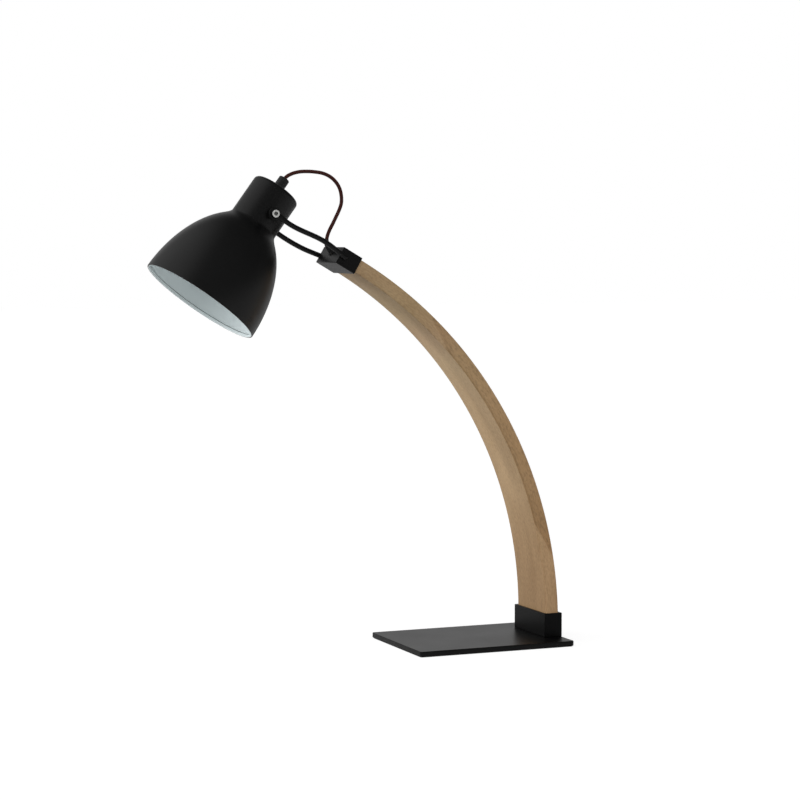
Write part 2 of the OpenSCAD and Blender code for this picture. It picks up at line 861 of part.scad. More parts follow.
module bulb_contact() {
    color([0.72, 0.70, 0.66])
        on_shade()
            translate([0, 0, bulb_base_top])
                cylinder(r1 = bulb_tip_r, r2 = bulb_tip_r/2, h = bulb_tip_top - bulb_base_top);
}

// Free cord

// Direction of the route at a point, from its neighbours
function cord_dir(i) =
    let (last = len(cord_points) - 1)
    i == 0 ? cord_start_dir
    : i == last ? cord_end_dir
    : let (span = cord_points[i + 1] - cord_points[i - 1]) span/norm(span);

// One ring of the tube, square to the route
function cord_ring(i) =
    let (p = cord_points[i], d = cord_dir(i))
    [for (k = [0:cord_sides - 1])
        let (a = 360*k/cord_sides, across = cord_d/2*cos(a))
            [p[0] - across*d[1], cord_d/2*sin(a), p[1] + across*d[0]]];

module head_cord() {
    rings = len(cord_points);
    points = [for (i = [0:rings - 1]) each cord_ring(i)];
    walls = [for (i = [0:rings - 2], k = [0:cord_sides - 1])
        let (n = (k + 1)%cord_sides, a = i*cord_sides, b = a + cord_sides)
            each [[a + k, b + k, b + n], [a + k, b + n, a + n]]];
    first = [for (k = [1:cord_sides - 2]) [0, k, k + 1]];
    tail = (rings - 1)*cord_sides;
    last = [for (k = [1:cord_sides - 2]) [tail, tail + k + 1, tail + k]];
    color([0.38, 0.18, 0.14])
        polyhedron(points, concat(walls, first, last));
}

base_plate();
base_pad();
base_screws();
arm_socket();
arm_screws();
wood_arm();
groove_strip();
arm_cable();
inlet_bush();
end_cap();
cap_screws();
cap_grommet();
near_rod();
far_rod();
rod_clips();
shade();
neck_cup();
pivot_spacers();
pivot_washers();
pivot_screws();
pivot_nuts();
cord_grip();
grip_screw();
lock_nut();
holder_cap();
contact_block();
lamp_contacts();
holder_shell();
holder_leads();
bulb_glass();
bulb_base();
bulb_contact();
head_cord();
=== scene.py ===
import math

import bmesh
import bpy
import numpy as np
from mathutils import Matrix, Vector


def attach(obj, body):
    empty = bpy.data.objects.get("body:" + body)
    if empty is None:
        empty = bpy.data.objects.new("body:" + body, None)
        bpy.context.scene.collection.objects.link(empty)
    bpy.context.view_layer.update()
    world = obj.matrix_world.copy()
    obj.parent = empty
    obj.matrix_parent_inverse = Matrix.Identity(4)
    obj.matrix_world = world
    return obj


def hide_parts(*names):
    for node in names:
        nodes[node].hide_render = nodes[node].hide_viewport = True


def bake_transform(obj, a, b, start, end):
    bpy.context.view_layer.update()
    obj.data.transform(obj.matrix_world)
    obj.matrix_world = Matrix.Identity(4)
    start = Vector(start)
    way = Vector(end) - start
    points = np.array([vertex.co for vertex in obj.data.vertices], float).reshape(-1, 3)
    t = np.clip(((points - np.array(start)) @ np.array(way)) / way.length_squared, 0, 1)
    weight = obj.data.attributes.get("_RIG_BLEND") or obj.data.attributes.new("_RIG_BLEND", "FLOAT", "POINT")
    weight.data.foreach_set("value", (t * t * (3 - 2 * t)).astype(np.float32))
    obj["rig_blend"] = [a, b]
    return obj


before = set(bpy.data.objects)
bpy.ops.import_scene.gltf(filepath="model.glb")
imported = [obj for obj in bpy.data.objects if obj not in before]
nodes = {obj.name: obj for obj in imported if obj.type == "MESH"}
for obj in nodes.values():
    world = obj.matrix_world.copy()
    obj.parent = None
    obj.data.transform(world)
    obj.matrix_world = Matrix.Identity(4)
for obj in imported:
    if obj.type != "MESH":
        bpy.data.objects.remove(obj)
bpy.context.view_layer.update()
scene = bpy.context.scene

MM = 0.001

# Sizes of the part in millimetres, and angles in degrees
PLATE_L = 187.4
PLATE_W = 142.0
PLATE_T = 5.6
PLATE_R = 3.0
PAD_T = 0.8
BASE_TOP = PAD_T + PLATE_T

ARM_T = 15.5
FOOT_W = 73.0
TIP_W = 57.2
FOOT_H = 16.2
TIP_LEN = 10.0
ARC_R = 458.2
ARC_END = 60.0
INLET_A = 6.0
STRIP_T = 1.5
GROOVE_W = 4.8
CORD_D = 4.0
CABLE_GAP = 0.4
CABLE_X = ARM_T - STRIP_T - CABLE_GAP - CORD_D / 2

SOCKET_H = 27.2
SOCKET_WALL = 2.6
SOCKET_FLOOR = 3.0
SOCKET_PLAY_X = 1.0
SOCKET_PLAY_Y = 0.8
SOCKET_L = ARM_T + SOCKET_PLAY_X + 2 * SOCKET_WALL
SOCKET_W = FOOT_W + SOCKET_PLAY_Y + 2 * SOCKET_WALL
SOCKET_X = PLATE_L / 2 - SOCKET_L

CAP_LEN = 24.5
CAP_WALL = 2.0
CAP_GAP = 0.1
CAP_X = -CAP_WALL - CAP_GAP
CAP_H = ARM_T - 2 * CAP_X
CAP_W = TIP_W - 2 * CAP_X
CAP_RING_TOP = 1.5

ROD_D = 5.6
ROD_LEN = 93.8
ROD_GAP = 0.3
EYE_D = 13.0
EYE_T = 3.0
EYE_HOLE_R = 2.55
PIN_R = 2.0
PIN_FROM_END = 5.6
PIN_INSIDE = 4.5
ROD_X = ARM_T / 2
ROD_Y = CAP_W / 2 + ROD_GAP + ROD_D / 2
PIN_Z = CAP_LEN - PIN_FROM_END
PIN_Y = CAP_W / 2 - CAP_WALL - PIN_INSIDE
PIVOT_Z = PIN_Z + ROD_LEN

TILT = 36.4
PIVOT_UP = 118.6
PIVOT_BACK = 3.2
RIM_R = 67.5
BELL_H = 109.8
FULLNESS = 1.95
NECK_R = 27.3
SHADE_H = 149.0
WALL = 1.0
GRIP_H = 14.7
GRIP_R = 6.1
CORD_HOLE_R = 2.15

# Small step that keeps two faces from lying in one plane
LIE = 0.02

# The bend's centre, the pivot and the middle of the rim, as places along X and Z
FOOT_X = SOCKET_X + SOCKET_WALL + SOCKET_PLAY_X / 2
ARC_CX = FOOT_X - ARC_R
ARC_CZ = BASE_TOP + FOOT_H
END = math.radians(ARC_END)
LEAN = math.radians(TILT)
PIVOT = (
    ARC_CX + (ARC_R + ROD_X) * math.cos(END) - PIVOT_Z * math.sin(END),
    ARC_CZ + (ARC_R + ROD_X) * math.sin(END) + PIVOT_Z * math.cos(END),
)
RIM = (
    PIVOT[0] - PIVOT_BACK * math.cos(LEAN) - PIVOT_UP * math.sin(LEAN),
    PIVOT[1] + PIVOT_BACK * math.sin(LEAN) - PIVOT_UP * math.cos(LEAN),
)

# Frames in millimetres: the arm at an angle, the cap, the shade and each side of its pivot


def move(x, y, z):
    return Matrix.Translation((x, y, z))


def turn_x(degrees):
    return Matrix.Rotation(math.radians(degrees), 4, "X")


def turn_y(degrees):
    return Matrix.Rotation(math.radians(degrees), 4, "Y")


def on_arm(angle):
    return move(ARC_CX, 0, ARC_CZ) @ turn_y(-angle) @ move(ARC_R, 0, 0)


IN_PLACE = Matrix.Identity(4)
ON_CAP = on_arm(ARC_END)
ON_SHADE = move(RIM[0], 0, RIM[1]) @ turn_y(TILT)


def on_pivot(side):
    return ON_SHADE @ move(PIVOT_BACK, 0, PIVOT_UP) @ turn_x(-90 * side)


# Materials. Noise scales are per metre and bump distances in metres.

# The range that a noise mostly fills
NOISE_LOW = 0.3
NOISE_HIGH = 0.7


class Look:
    """A Principled material with short ways to add node detail."""

    def __init__(self, name, **values):
        self.mat = bpy.data.materials.new(name)
        self.mat.use_nodes = True
        self.tree = self.mat.node_tree
        self.shader = self.tree.nodes["Principled BSDF"]
        for key, value in values.items():
            self.shader.inputs[key.replace("_", " ")].default_value = value
        self.where = self.add("ShaderNodeTexCoord").outputs["Object"]

    def add(self, kind, **values):
        node = self.tree.nodes.new(kind)
        for key, value in values.items():
            setattr(node, key, value)
        return node

    def feed(self, node, name, value):
        socket = node.inputs[name]
        if isinstance(value, bpy.types.NodeSocket):
            self.tree.links.new(value, socket)
        else:
            socket.default_value = value

    def split(self, vector):
        node = self.add("ShaderNodeSeparateXYZ")
        self.feed(node, 0, vector)
        return node.outputs

    def math(self, operation, a, b=0.0, c=0.0):
        node = self.add("ShaderNodeMath", operation=operation)
        for i, value in enumerate((a, b, c)):
            self.feed(node, i, value)
        return node.outputs[0]

    def noise(self, scale, detail=3.0, rough=0.55, where=None, distortion=0.0):
        node = self.add("ShaderNodeTexNoise")
        self.feed(node, "Vector", where or self.where)
        self.feed(node, "Scale", scale)
        self.feed(node, "Detail", detail)
        self.feed(node, "Roughness", rough)
        self.feed(node, "Distortion", distortion)
        return node.outputs["Fac"]

    def spread(self, value, low, high, to_low=0.0, to_high=1.0, smooth=False):
        """Carry a value from one range to another, and stop it at both ends."""
        node = self.add("ShaderNodeMapRange", interpolation_type="SMOOTHSTEP" if smooth else "LINEAR")
        for i, v in enumerate((value, low, high, to_low, to_high)):
            self.feed(node, i, v)
        return node.outputs[0]

    def ramp(self, value, *stops):
        node = self.add("ShaderNodeValToRGB")
        ramp = node.color_ramp
        while len(ramp.elements) < len(stops):
            ramp.elements.new(0.5)
        for element, (place, colour) in zip(ramp.elements, stops):
            element.position = place
            element.color = (*colour, 1)
        self.feed(node, 0, value)
        return node.outputs["Color"]

    def mix(self, share, a, b, blend="MIX"):
        node = self.add("ShaderNodeMix", data_type="RGBA", blend_type=blend)
        self.feed(node, "Factor", share)
        for name, value in (("A", a), ("B", b)):
            socket = [s for s in node.inputs if s.name == name and s.type == "RGBA"][0]
            if isinstance(value, bpy.types.NodeSocket):
                self.tree.links.new(value, socket)
            else:
                socket.default_value = (*value, 1)
        return [s for s in node.outputs if s.type == "RGBA"][0]

    def colour(self, value):
        self.feed(self.shader, "Base Color", value)

    def two_tone(self, value, low, high):
        """Base colour from one colour to another over the range of a noise."""
        self.colour(self.ramp(value, (NOISE_LOW, low), (NOISE_HIGH, high)))

    def roughness(self, value, low, high):
        """Roughness from one number to another over the range of a noise."""
        self.feed(self.shader, "Roughness", self.spread(value, NOISE_LOW, NOISE_HIGH, low, high))

    def bump(self, height, distance, strength):
        node = self.add("ShaderNodeBump")
        self.feed(node, "Height", height)
        self.feed(node, "Distance", distance)
        self.feed(node, "Strength", strength)
        self.feed(self.shader, "Normal", node.outputs["Normal"])


def scaled(colour, by):
    """A colour times one number, or times one number for each channel."""
    shares = by if isinstance(by, tuple) else (by, by, by)
    return tuple(c * share for c, share in zip(colour, shares))


COAT_ROUGH = 0.36


def powder_coat(name, dark=0.002, grain=700.0, shine=0.25):
    """Satin powder coat: fine orange peel, faint cloudy change of shine."""
    look = Look(name, Specular_IOR_Level=shine)
    fine = look.noise(grain, detail=4.0, rough=0.6)
    cloud = look.noise(14.0)
    grey = (dark, dark, dark)
    look.two_tone(fine, scaled(grey, 0.8), scaled(grey, (1.25, 1.25, 1.3)))
    look.roughness(cloud, COAT_ROUGH - 0.015, COAT_ROUGH + 0.02)
    look.bump(fine, 0.00006, 0.6)
    return look.mat


def plain(name, colour, rough, metal=0.0, grain=500.0, depth=0.00003, **values):
    """Even finish with a small change of tone and shine."""
    look = Look(name, Metallic=metal, **values)
    fine = look.noise(grain)
    cloud = look.noise(40.0, detail=2.0)
    look.two_tone(cloud, scaled(colour, 0.9), scaled(colour, 1.1))
    look.roughness(fine, rough - 0.05, rough + 0.05)
    look.bump(fine, depth, 0.5)
    return look.mat


def brushed(name, colour, rough):
    """Plated metal with fine turning marks."""
    look = Look(name, Metallic=1.0)
    fine = look.noise(1800.0, detail=2.0)
    cloud = look.noise(120.0, detail=2.0)
    look.two_tone(cloud, scaled(colour, 0.88), colour)
    look.roughness(fine, rough - 0.06, rough + 0.08)
    look.bump(fine, 0.00001, 0.5)
    return look.mat


def white_inside(name):
    """White enamel inside the shade, with a faint orange peel."""
    look = Look(name, Specular_IOR_Level=0.4)
    fine = look.noise(600.0)
    cloud = look.noise(18.0)
    look.two_tone(cloud, (0.685, 0.75, 0.76), (0.72, 0.785, 0.795))
    look.roughness(fine, 0.42, 0.52)
    look.bump(fine, 0.00001, 0.2)
    return look.mat


# Glue lines on the arm's sides: where each starts at the inner face, as an angle along the bend in degrees,
# and how far along it has moved at the outer face
LOWER_GLUE = 14.1
LOWER_SLANT = -5.2
UPPER_GLUE = 42.5
UPPER_SLANT = 5.5
# Waves of a glue line in radians
GLUE_WAVE = 0.03
# Border between the halves of the arm's broad faces: how far it wanders and half the width of its blend,
# in metres
HALVES_WANDER = 0.012
HALVES_BLEND = 0.012
# Tint of the wood along the bend, as a share of its whole angle: partly the wood's own tone and partly
# painted light and shade, darker at the foot and at the cap and brightest in the middle of the bend
WOOD_TINT_AND_SHADE = (
    (0.0, (0.735, 0.69, 0.635)),
    (0.17, (0.835, 0.80, 0.74)),
    (0.3, (0.90, 0.90, 0.86)),
    (0.5, (0.97, 1.0, 0.99)),
    (0.67, (0.93, 0.99, 1.0)),
    (0.75, (0.88, 0.91, 0.94)),
    (0.84, (0.80, 0.85, 0.82)),
    (1.0, (0.79, 0.83, 0.84)),
)


def wood(name, light, dark, boards):
    """Bent wood: the grain runs along the bend. A tint along the bend, darker and warmer at the foot, palest
    in the middle and darker again at the cap, is partly the wood's own tone and partly painted light and
    shade. With boards, a browner board shows on the arm's two sides between two slanted glue lines, and the
    near half of its broad faces is darker than the far half."""
    look = Look(name, Specular_IOR_Level=0.35)
    place = look.split(look.where)
    dx = look.math("SUBTRACT", place["X"], ARC_CX * MM)
    dz = look.math("SUBTRACT", place["Z"], ARC_CZ * MM)
    angle = look.math("ARCTAN2", dz, dx)
    squares = look.math("ADD", look.math("MULTIPLY", dx, dx), look.math("MULTIPLY", dz, dz))
    depth = look.math("SUBTRACT", look.math("SQRT", squares), ARC_R * MM)
    along = look.math("MULTIPLY", angle, ARC_R * MM)

    def stretched(share):
        node = look.add("ShaderNodeCombineXYZ")
        look.feed(node, 0, look.math("MULTIPLY", along, share))
        look.feed(node, 1, place["Y"])
        look.feed(node, 2, depth)
        return node.outputs[0]

    def glue_line(start, slant):
        return look.math("MULTIPLY_ADD", depth, math.radians(slant) / (ARM_T * MM), math.radians(start))

    fibre = look.noise(620.0, 5.0, 0.65, stretched(0.028), 0.3)
    band = look.noise(70.0, 4.0, 0.6, stretched(0.08), 1.0)
    figure = look.noise(120.0, 4.0, 0.6, stretched(0.22), 1.6)
    cloud = look.noise(22.0, 3.0, 0.5, stretched(0.45), 0.6)
    pores = look.noise(1500.0, 2.0, 0.5, stretched(0.05))
    fleck = look.noise(650.0, 2.0, 0.5, stretched(0.4))
    mid = tuple((a + b) / 2 for a, b in zip(light, dark))
    pale = scaled(light, (1.16, 1.14, 1.16))
    deep = scaled(dark, 0.8)
    pore = scaled(dark, 0.6)
    tone = look.ramp(fibre, (0.28, dark), (0.5, mid), (0.72, light))
    tone = look.mix(look.spread(band, 0.38, 0.66, 0.0, 0.5, True), tone, dark)
    tone = look.mix(look.spread(cloud, 0.4, 0.7, 0.0, 0.45, True), tone, pale)
    tone = look.mix(look.spread(figure, 0.52, 0.72, 0.0, 0.45, True), tone, deep)
    tone = look.mix(look.spread(pores, 0.62, 0.75, 0.0, 0.3), tone, pore)
    tone = look.mix(look.spread(fleck, 0.5, 0.72, 0.0, 0.4), tone, pore)
    tone = look.mix(look.spread(fleck, 0.28, 0.5, 0.4, 0.0), tone, pale)
    if boards:
        normal = look.split(look.add("ShaderNodeNewGeometry").outputs["Normal"])
        side = look.spread(look.math("ABSOLUTE", normal["Y"]), 0.75, 0.95, smooth=True)

        # Browner board with dark specks and a dark inner edge
        wavy = look.math("ADD", angle, look.math("MULTIPLY_ADD", cloud, GLUE_WAVE, -GLUE_WAVE / 2))
        from_lower = look.math("SUBTRACT", wavy, glue_line(LOWER_GLUE, LOWER_SLANT))
        to_upper = look.math("SUBTRACT", glue_line(UPPER_GLUE, UPPER_SLANT), wavy)
        over = look.spread(from_lower, -0.002, 0.004, smooth=True)
        under = look.spread(to_upper, -0.01, 0.01, 0.35, 1.0, True)
        brown = look.mix(0.65, tone, scaled(dark, (0.86, 0.78, 0.66)))
        speck = look.noise(560.0, 3.0, 0.6, stretched(0.35))
        brown = look.mix(look.spread(speck, 0.46, 0.66, 0.0, 0.6), brown, scaled(dark, 0.5))
        ragged = look.math("ADD", depth, look.math("MULTIPLY", figure, 0.002))
        edge = look.spread(ragged, 0.0015, 0.0045, 0.5, 0.0, True)
        brown = look.mix(edge, brown, scaled(dark, (0.5, 0.46, 0.36)))
        board = look.math("MULTIPLY", side, look.math("MULTIPLY", over, under))
        tone = look.mix(board, tone, brown)

        # Near and far half of the broad faces
        wandering = look.math("MULTIPLY_ADD", figure, HALVES_WANDER, place["Y"])
        border = HALVES_WANDER / 2
        half = look.spread(wandering, border - HALVES_BLEND, border + HALVES_BLEND, -1.0, 1.0, True)
        rise = look.spread(angle, math.radians(12), math.radians(26), 0.03, 0.11, True)
        fall = look.spread(angle, math.radians(46), math.radians(55), 1.0, 0.2, True)
        broad = look.math("SUBTRACT", 1.0, side)
        change = look.math("MULTIPLY", look.math("MULTIPLY", rise, fall), broad)
        tone = look.mix(1.0, tone, look.math("MULTIPLY_ADD", half, change, 1.0), "MULTIPLY")
    # Painted light and shade along the bend, mixed with the wood's own tone
    tint_and_shade = look.ramp(look.math("DIVIDE", angle, END), *WOOD_TINT_AND_SHADE)
    look.colour(look.mix(1.0, tone, tint_and_shade, "MULTIPLY"))
    look.roughness(fibre, 0.52, 0.66)
    relief = look.math("ADD", look.math("MULTIPLY", fibre, 0.6), look.math("MULTIPLY", pores, 0.4))
    look.bump(relief, 0.00012, 0.7)
    return look.mat


# Name of the cord's own map, the length of one wave of its threads in metres, and the waves round it
CORD_MAP = "cord"
BRAID_L = 0.0022
BRAID_TURNS = 8


def braid(name, dark, light):
    """Braided fabric on a cord: two sets of threads that cross, from the tube's own map."""
    look = Look(name, Specular_IOR_Level=0.2, Sheen_Weight=0.1, Sheen_Roughness=0.5)
    place = look.split(look.add("ShaderNodeUVMap", uv_map=CORD_MAP).outputs[0])
    along = look.math("MULTIPLY", place["X"], 2 * math.pi / BRAID_L)
    around = look.math("MULTIPLY", place["Y"], 2 * math.pi * BRAID_TURNS)
    one = look.math("SINE", look.math("ADD", along, around))
    two = look.math("SINE", look.math("SUBTRACT", along, around))
    weave = look.spread(look.math("MULTIPLY", one, two), -1.0, 1.0)
    fluff = look.noise(2500.0)
    tone = look.ramp(weave, (0.1, dark), (0.9, light))
    tone = look.mix(look.spread(fluff, 0.45, 0.75, 0.0, 0.4), tone, scaled(dark, 0.45))
    look.colour(tone)
    look.roughness(fluff, 0.75, 0.9)
    look.bump(look.math("ADD", weave, look.math("MULTIPLY", fluff, 0.5)), 0.0002, 0.8)
    return look.mat


BLACK = powder_coat("satin_black_coat")
SHADE_BLACK = powder_coat("shade_black_coat", dark=0.0024, grain=900.0, shine=0.36)
ROD_BLACK = powder_coat("rod_black_coat", dark=0.0025, grain=900.0, shine=0.3)
SOCKET_BLACK = powder_coat("socket_black_coat", shine=0.14)
WHITE = white_inside("shade_white_enamel")
WOOD = wood("bent_wood", (0.49, 0.34, 0.196), (0.376, 0.238, 0.126), boards=True)
STRIP_WOOD = wood("strip_wood", (0.42, 0.28, 0.15), (0.31, 0.19, 0.10), boards=False)
CORD = braid("cord_braid", (0.028, 0.006, 0.004), (0.052, 0.013, 0.009))
SCREW = plain("screw_nickel", (0.74, 0.74, 0.72), 0.38, metal=0.6)
# Dark grey for the pivot screws' hexagonal holes: painted shade in the recess of a nickel head
RECESS_SHADE = plain("screw_recess_painted_shade", (0.13, 0.13, 0.125), 0.5, metal=0.5)
STEEL = brushed("zinc_steel", (0.55, 0.55, 0.57), 0.35)
BLACK_STEEL = brushed("black_screw_steel", (0.05, 0.05, 0.052), 0.4)
BRASS = brushed("contact_brass", (0.72, 0.53, 0.22), 0.32)
RUBBER = plain("black_rubber", (0.006, 0.006, 0.006), 0.7)
PAD = plain("pad_foam", (0.03, 0.03, 0.03), 0.85, grain=900.0, depth=0.0001)
PLASTIC = plain("black_plastic", (0.006, 0.006, 0.006), 0.5)
CERAMIC = plain("glazed_ceramic", (0.80, 0.79, 0.75), 0.2)
ALUMINIUM = brushed("bulb_base_metal", (0.72, 0.72, 0.73), 0.3)
OPAL = plain("opal_glass", (0.82, 0.82, 0.80), 0.25, Coat_Weight=0.3)
INNER_CORD = plain("inner_cord", (0.07, 0.02, 0.014), 0.8)

# Mesh helpers. Points are in millimetres in a frame, and end up in metres.

# Edges that turn by more than this, in degrees, are shaded sharp: on turned pieces, boxes and rods, on the
# plate and the arm, on the bulb's thread and on the cord
SHARP = 32.0
SHARP_SOFT = 40.0
SHARP_THREAD = 50.0
SHARP_CORD = 60.0
# Width of the narrow strip round a flat face that keeps the face's shading flat up to its soft edge
FLAT_RIM = 0.2
# Steps of a soft edge, and the turn in radians from which an edge of a box is softened
SOFT_STEPS = 3
CORNER_TURN = 0.5
# Share of a normal along one axis from which a face counts as square to it
SQUARE = 0.999
# Radius under which a row of a turned section is a point on its axis
POLE = 1e-6


def finish_mesh(name, mesh, mats, body, stands_for, sharp=SHARP):
    """Object from a mesh, with its finish, body and slot and the nodes that it stands for."""
    for mat in mats:
        mesh.materials.append(mat)
    mesh.validate()
    mesh.shade_smooth()
    mesh.set_sharp_from_angle(angle=math.radians(sharp))
    obj = bpy.data.objects.new(name, mesh)
    scene.collection.objects.link(obj)
    if body:
        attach(obj, body)
    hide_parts(*stands_for)
    return obj


def to_mesh(name, points, faces, placed, mat_ids=()):
    mesh = bpy.data.meshes.new(name)
    mesh.from_pydata([(placed @ Vector(p)) * MM for p in points], [], faces)
    for polygon, mat_id in zip(mesh.polygons, mat_ids):
        polygon.material_index = mat_id
    bm = bmesh.new()
    bm.from_mesh(mesh)
    bmesh.ops.recalc_face_normals(bm, faces=bm.faces)
    bm.to_mesh(mesh)
    bm.free()
    return mesh


def skin(rings, around):
    """Faces of a closed skin over rings of points, with a cap at each end."""
    faces = []
    for k in range(rings - 1):
        low = k * around
        high = low + around
        for i in range(around):
            j = (i + 1) % around
            faces.append((low + i, low + j, high + j, high + i))
    faces.append(tuple(range(around))[::-1])
    faces.append(tuple(range((rings - 1) * around, rings * around)))
    return faces


def join_to(points, faces, more_points, more_faces, placed):
    """Put placed points and their faces at the end of lists of points and faces."""
    offset = len(points)
    points += [tuple(placed @ Vector(p)) for p in more_points]
    faces += [tuple(v + offset for v in face) for face in more_faces]


def lathe_data(rows, sides, hexes=()):
    """Turned solid from rows of (radius, height) or (radius, height, material). Rows listed in hexes are
    six-sided."""
    rows = [row if len(row) == 3 else (*row, 0) for row in rows]
    points, faces, ids, starts = [], [], [], []
    for k, (r, z, _) in enumerate(rows):
        starts.append(len(points))
        if r < POLE:
            points.append((0, 0, z))
            continue
        for i in range(sides):
            a = 2 * math.pi * i / sides
            out = r
            if k in hexes:
                out = r / math.cos((a + math.pi / 6) % (math.pi / 3) - math.pi / 6)
            points.append((out * math.cos(a), out * math.sin(a), z))
    for k in range(len(rows) - 1):
        a, b = starts[k], starts[k + 1]
        for i in range(sides):
            j = (i + 1) % sides
            if rows[k][0] < POLE:
                faces.append((a, b + j, b + i))
            elif rows[k + 1][0] < POLE:
                faces.append((a + i, a + j, b))
            else:
                faces.append((a + i, a + j, b + j, b + i))
            ids.append(rows[k][2])
    return points, faces, ids


def lathe(name, rows, frames, mats, body, stands_for, sides, hexes=(), sharp=SHARP):
    """One turned piece, with a copy of its solid in each frame."""
    points, faces, ids = [], [], []
    for placed in frames:
        more_points, more_faces, more_ids = lathe_data(rows, sides, hexes)
        join_to(points, faces, more_points, more_faces, placed)
        ids += more_ids
    mesh = to_mesh(name, points, faces, IN_PLACE, ids)
    finish_mesh(name, mesh, mats, body, stands_for, sharp)


def closed(rows):
    """Rows of a ring's section, closed back to its first row."""
    return rows + [rows[0]]


def rounded(r, z, radius, start=0, steps=5, mat_id=0):
    """Quarter round of a section about (r, z), from one angle on by 90 degrees."""
    out = []
    for i in range(steps + 1):
        a = math.radians(start + 90 * i / steps)
        out.append((r + radius * math.cos(a), z + radius * math.sin(a), mat_id))
    return out


def disc(hole, radius, low, high, soft):
    """Section of a flat ring with its outer edges chamfered."""
    return closed([
        (hole, low), (radius - soft, low), (radius, low + soft),
        (radius, high - soft), (radius - soft, high), (hole, high),
    ])


def grommet(hole, seat, flange, deep, top, soft, lip_r, lip_h):
    """Section of a grommet: a sleeve down into a hole, and a rounded flange whose mouth is chamfered."""
    return closed([
        (hole, -deep), (seat, -deep), (seat, LIE), (flange, LIE),
        *rounded(flange - soft, top - soft, soft),
        (hole + lip_r, top), (hole, top - lip_h),
    ])


def unit(value):
    """A value kept between 0 and 1."""
    return min(max(value, 0.0), 1.0)


def direction(a, b):
    """Unit vector from one point to another."""
    return (b - a) / np.linalg.norm(b - a)


def smooth_path(points, steps, ends=None):
    """Smooth curve through points, with the end directions given or those of the end spans."""
    p = [np.array(q, float) for q in points]
    first, last = ends or (direction(p[0], p[1]), direction(p[-2], p[-1]))
    ways = [np.array(first, float)]
    for before, here, after in zip(p, p[1:], p[2:]):
        d0, d1 = np.linalg.norm(here - before), np.linalg.norm(after - here)
        ways.append(((here - before) / d0 * d1 + (after - here) / d1 * d0) / (d0 + d1))
    ways.append(np.array(last, float))
    out = []
    for i in range(len(p) - 1):
        span = np.linalg.norm(p[i + 1] - p[i])
        for k in range(steps):
            u = k / steps
            out.append(
                (2 * u**3 - 3 * u**2 + 1) * p[i]
                + (u**3 - 2 * u**2 + u) * span * ways[i]
                + (3 * u**2 - 2 * u**3) * p[i + 1]
                + (u**3 - u**2) * span * ways[i + 1]
            )
    out.append(p[-1])
    return out


def tube(path, radii, sides):
    """Tube along a path in a plane of constant Y. Each ring has a radius in that plane and one along Y."""
    points = []
    for i, p in enumerate(path):
        way = direction(path[max(i - 1, 0)], path[min(i + 1, len(path) - 1)])
        across = np.array([-way[2], 0, way[0]])
        plane_r, side_r = radii[i]
        for k in range(sides):
            a = 2 * math.pi * k / sides
            sideways = np.array([0, side_r * math.sin(a), 0])
            points.append(tuple(p + plane_r * math.cos(a) * across + sideways))
    return points, skin(len(path), sides)


def rounded_outline(long, wide, radius, steps=8):
    """Outline of a rectangle with rounded corners."""
    out = []
    for side_x, side_y, start in ((1, 1, 0), (-1, 1, 90), (-1, -1, 180), (1, -1, 270)):
        x = side_x * (long / 2 - radius)
        y = side_y * (wide / 2 - radius)
        for i in range(steps + 1):
            a = math.radians(start + 90 * i / steps)
            out.append((x + radius * math.cos(a), y + radius * math.sin(a)))
    return out


def slab(name, long, wide, low, high, radius, soft, mat, body, stands_for):
    """Flat plate with rounded corners and soft edges."""
    turns = [math.radians(90 * i / SOFT_STEPS) for i in range(SOFT_STEPS + 1)]
    levels = [(soft + FLAT_RIM, low)]
    levels += [(soft * (1 - math.sin(a)), low + soft * (1 - math.cos(a))) for a in turns]
    levels += [(soft * (1 - math.cos(a)), high - soft * (1 - math.sin(a))) for a in turns]
    levels += [(soft + FLAT_RIM, high)]
    points = []
    for inset, z in levels:
        outline = rounded_outline(long - 2 * inset, wide - 2 * inset, radius - inset)
        points += [(x, y, z) for x, y in outline]
    faces = skin(len(levels), len(points) // len(levels))
    mesh = to_mesh(name, points, faces, IN_PLACE)
    finish_mesh(name, mesh, [mat], body, stands_for, SHARP_SOFT)


def is_corner(edge):
    """Whether two faces meet at an angle at an edge."""
    return len(edge.link_faces) == 2 and edge.calc_face_angle(0) > CORNER_TURN


def is_flat(face):
    """Whether a face lies square to one of the axes."""
    return max(abs(c) for c in face.normal) > SQUARE


def bevelled_box(name, size, placed, mat, open_side, wall, soft, body, stands_for):
    """Box with soft edges. The open side, +Z or -Z, leaves a hollow with walls."""
    bm = bmesh.new()
    bmesh.ops.create_cube(bm, size=1.0)
    for v in bm.verts:
        v.co = Vector(((v.co.x + 0.5) * size[0], v.co.y * size[1], (v.co.z + 0.5) * size[2]))
    lid = [f for f in bm.faces if f.normal.z * open_side > SQUARE]
    bmesh.ops.inset_region(bm, faces=lid, thickness=wall, use_even_offset=True)
    for f in bmesh.ops.extrude_discrete_faces(bm, faces=lid)["faces"]:
        for v in f.verts:
            v.co.z -= open_side * (size[2] - wall)
    bmesh.ops.bevel(
        bm,
        geom=[e for e in bm.edges if is_corner(e)],
        offset=soft,
        segments=SOFT_STEPS,
        profile=0.5,
        affect="EDGES",
        clamp_overlap=True,
    )
    bm.normal_update()
    flats = [f for f in bm.faces if is_flat(f)]
    bmesh.ops.inset_individual(bm, faces=flats, thickness=FLAT_RIM, use_even_offset=True)
    for v in bm.verts:
        v.co = (placed @ v.co) * MM
    bmesh.ops.recalc_face_normals(bm, faces=bm.faces)
    mesh = bpy.data.meshes.new(name)
    bm.to_mesh(mesh)
    bm.free()
    finish_mesh(name, mesh, [mat], body, stands_for)


# Camera at the photograph's viewpoint

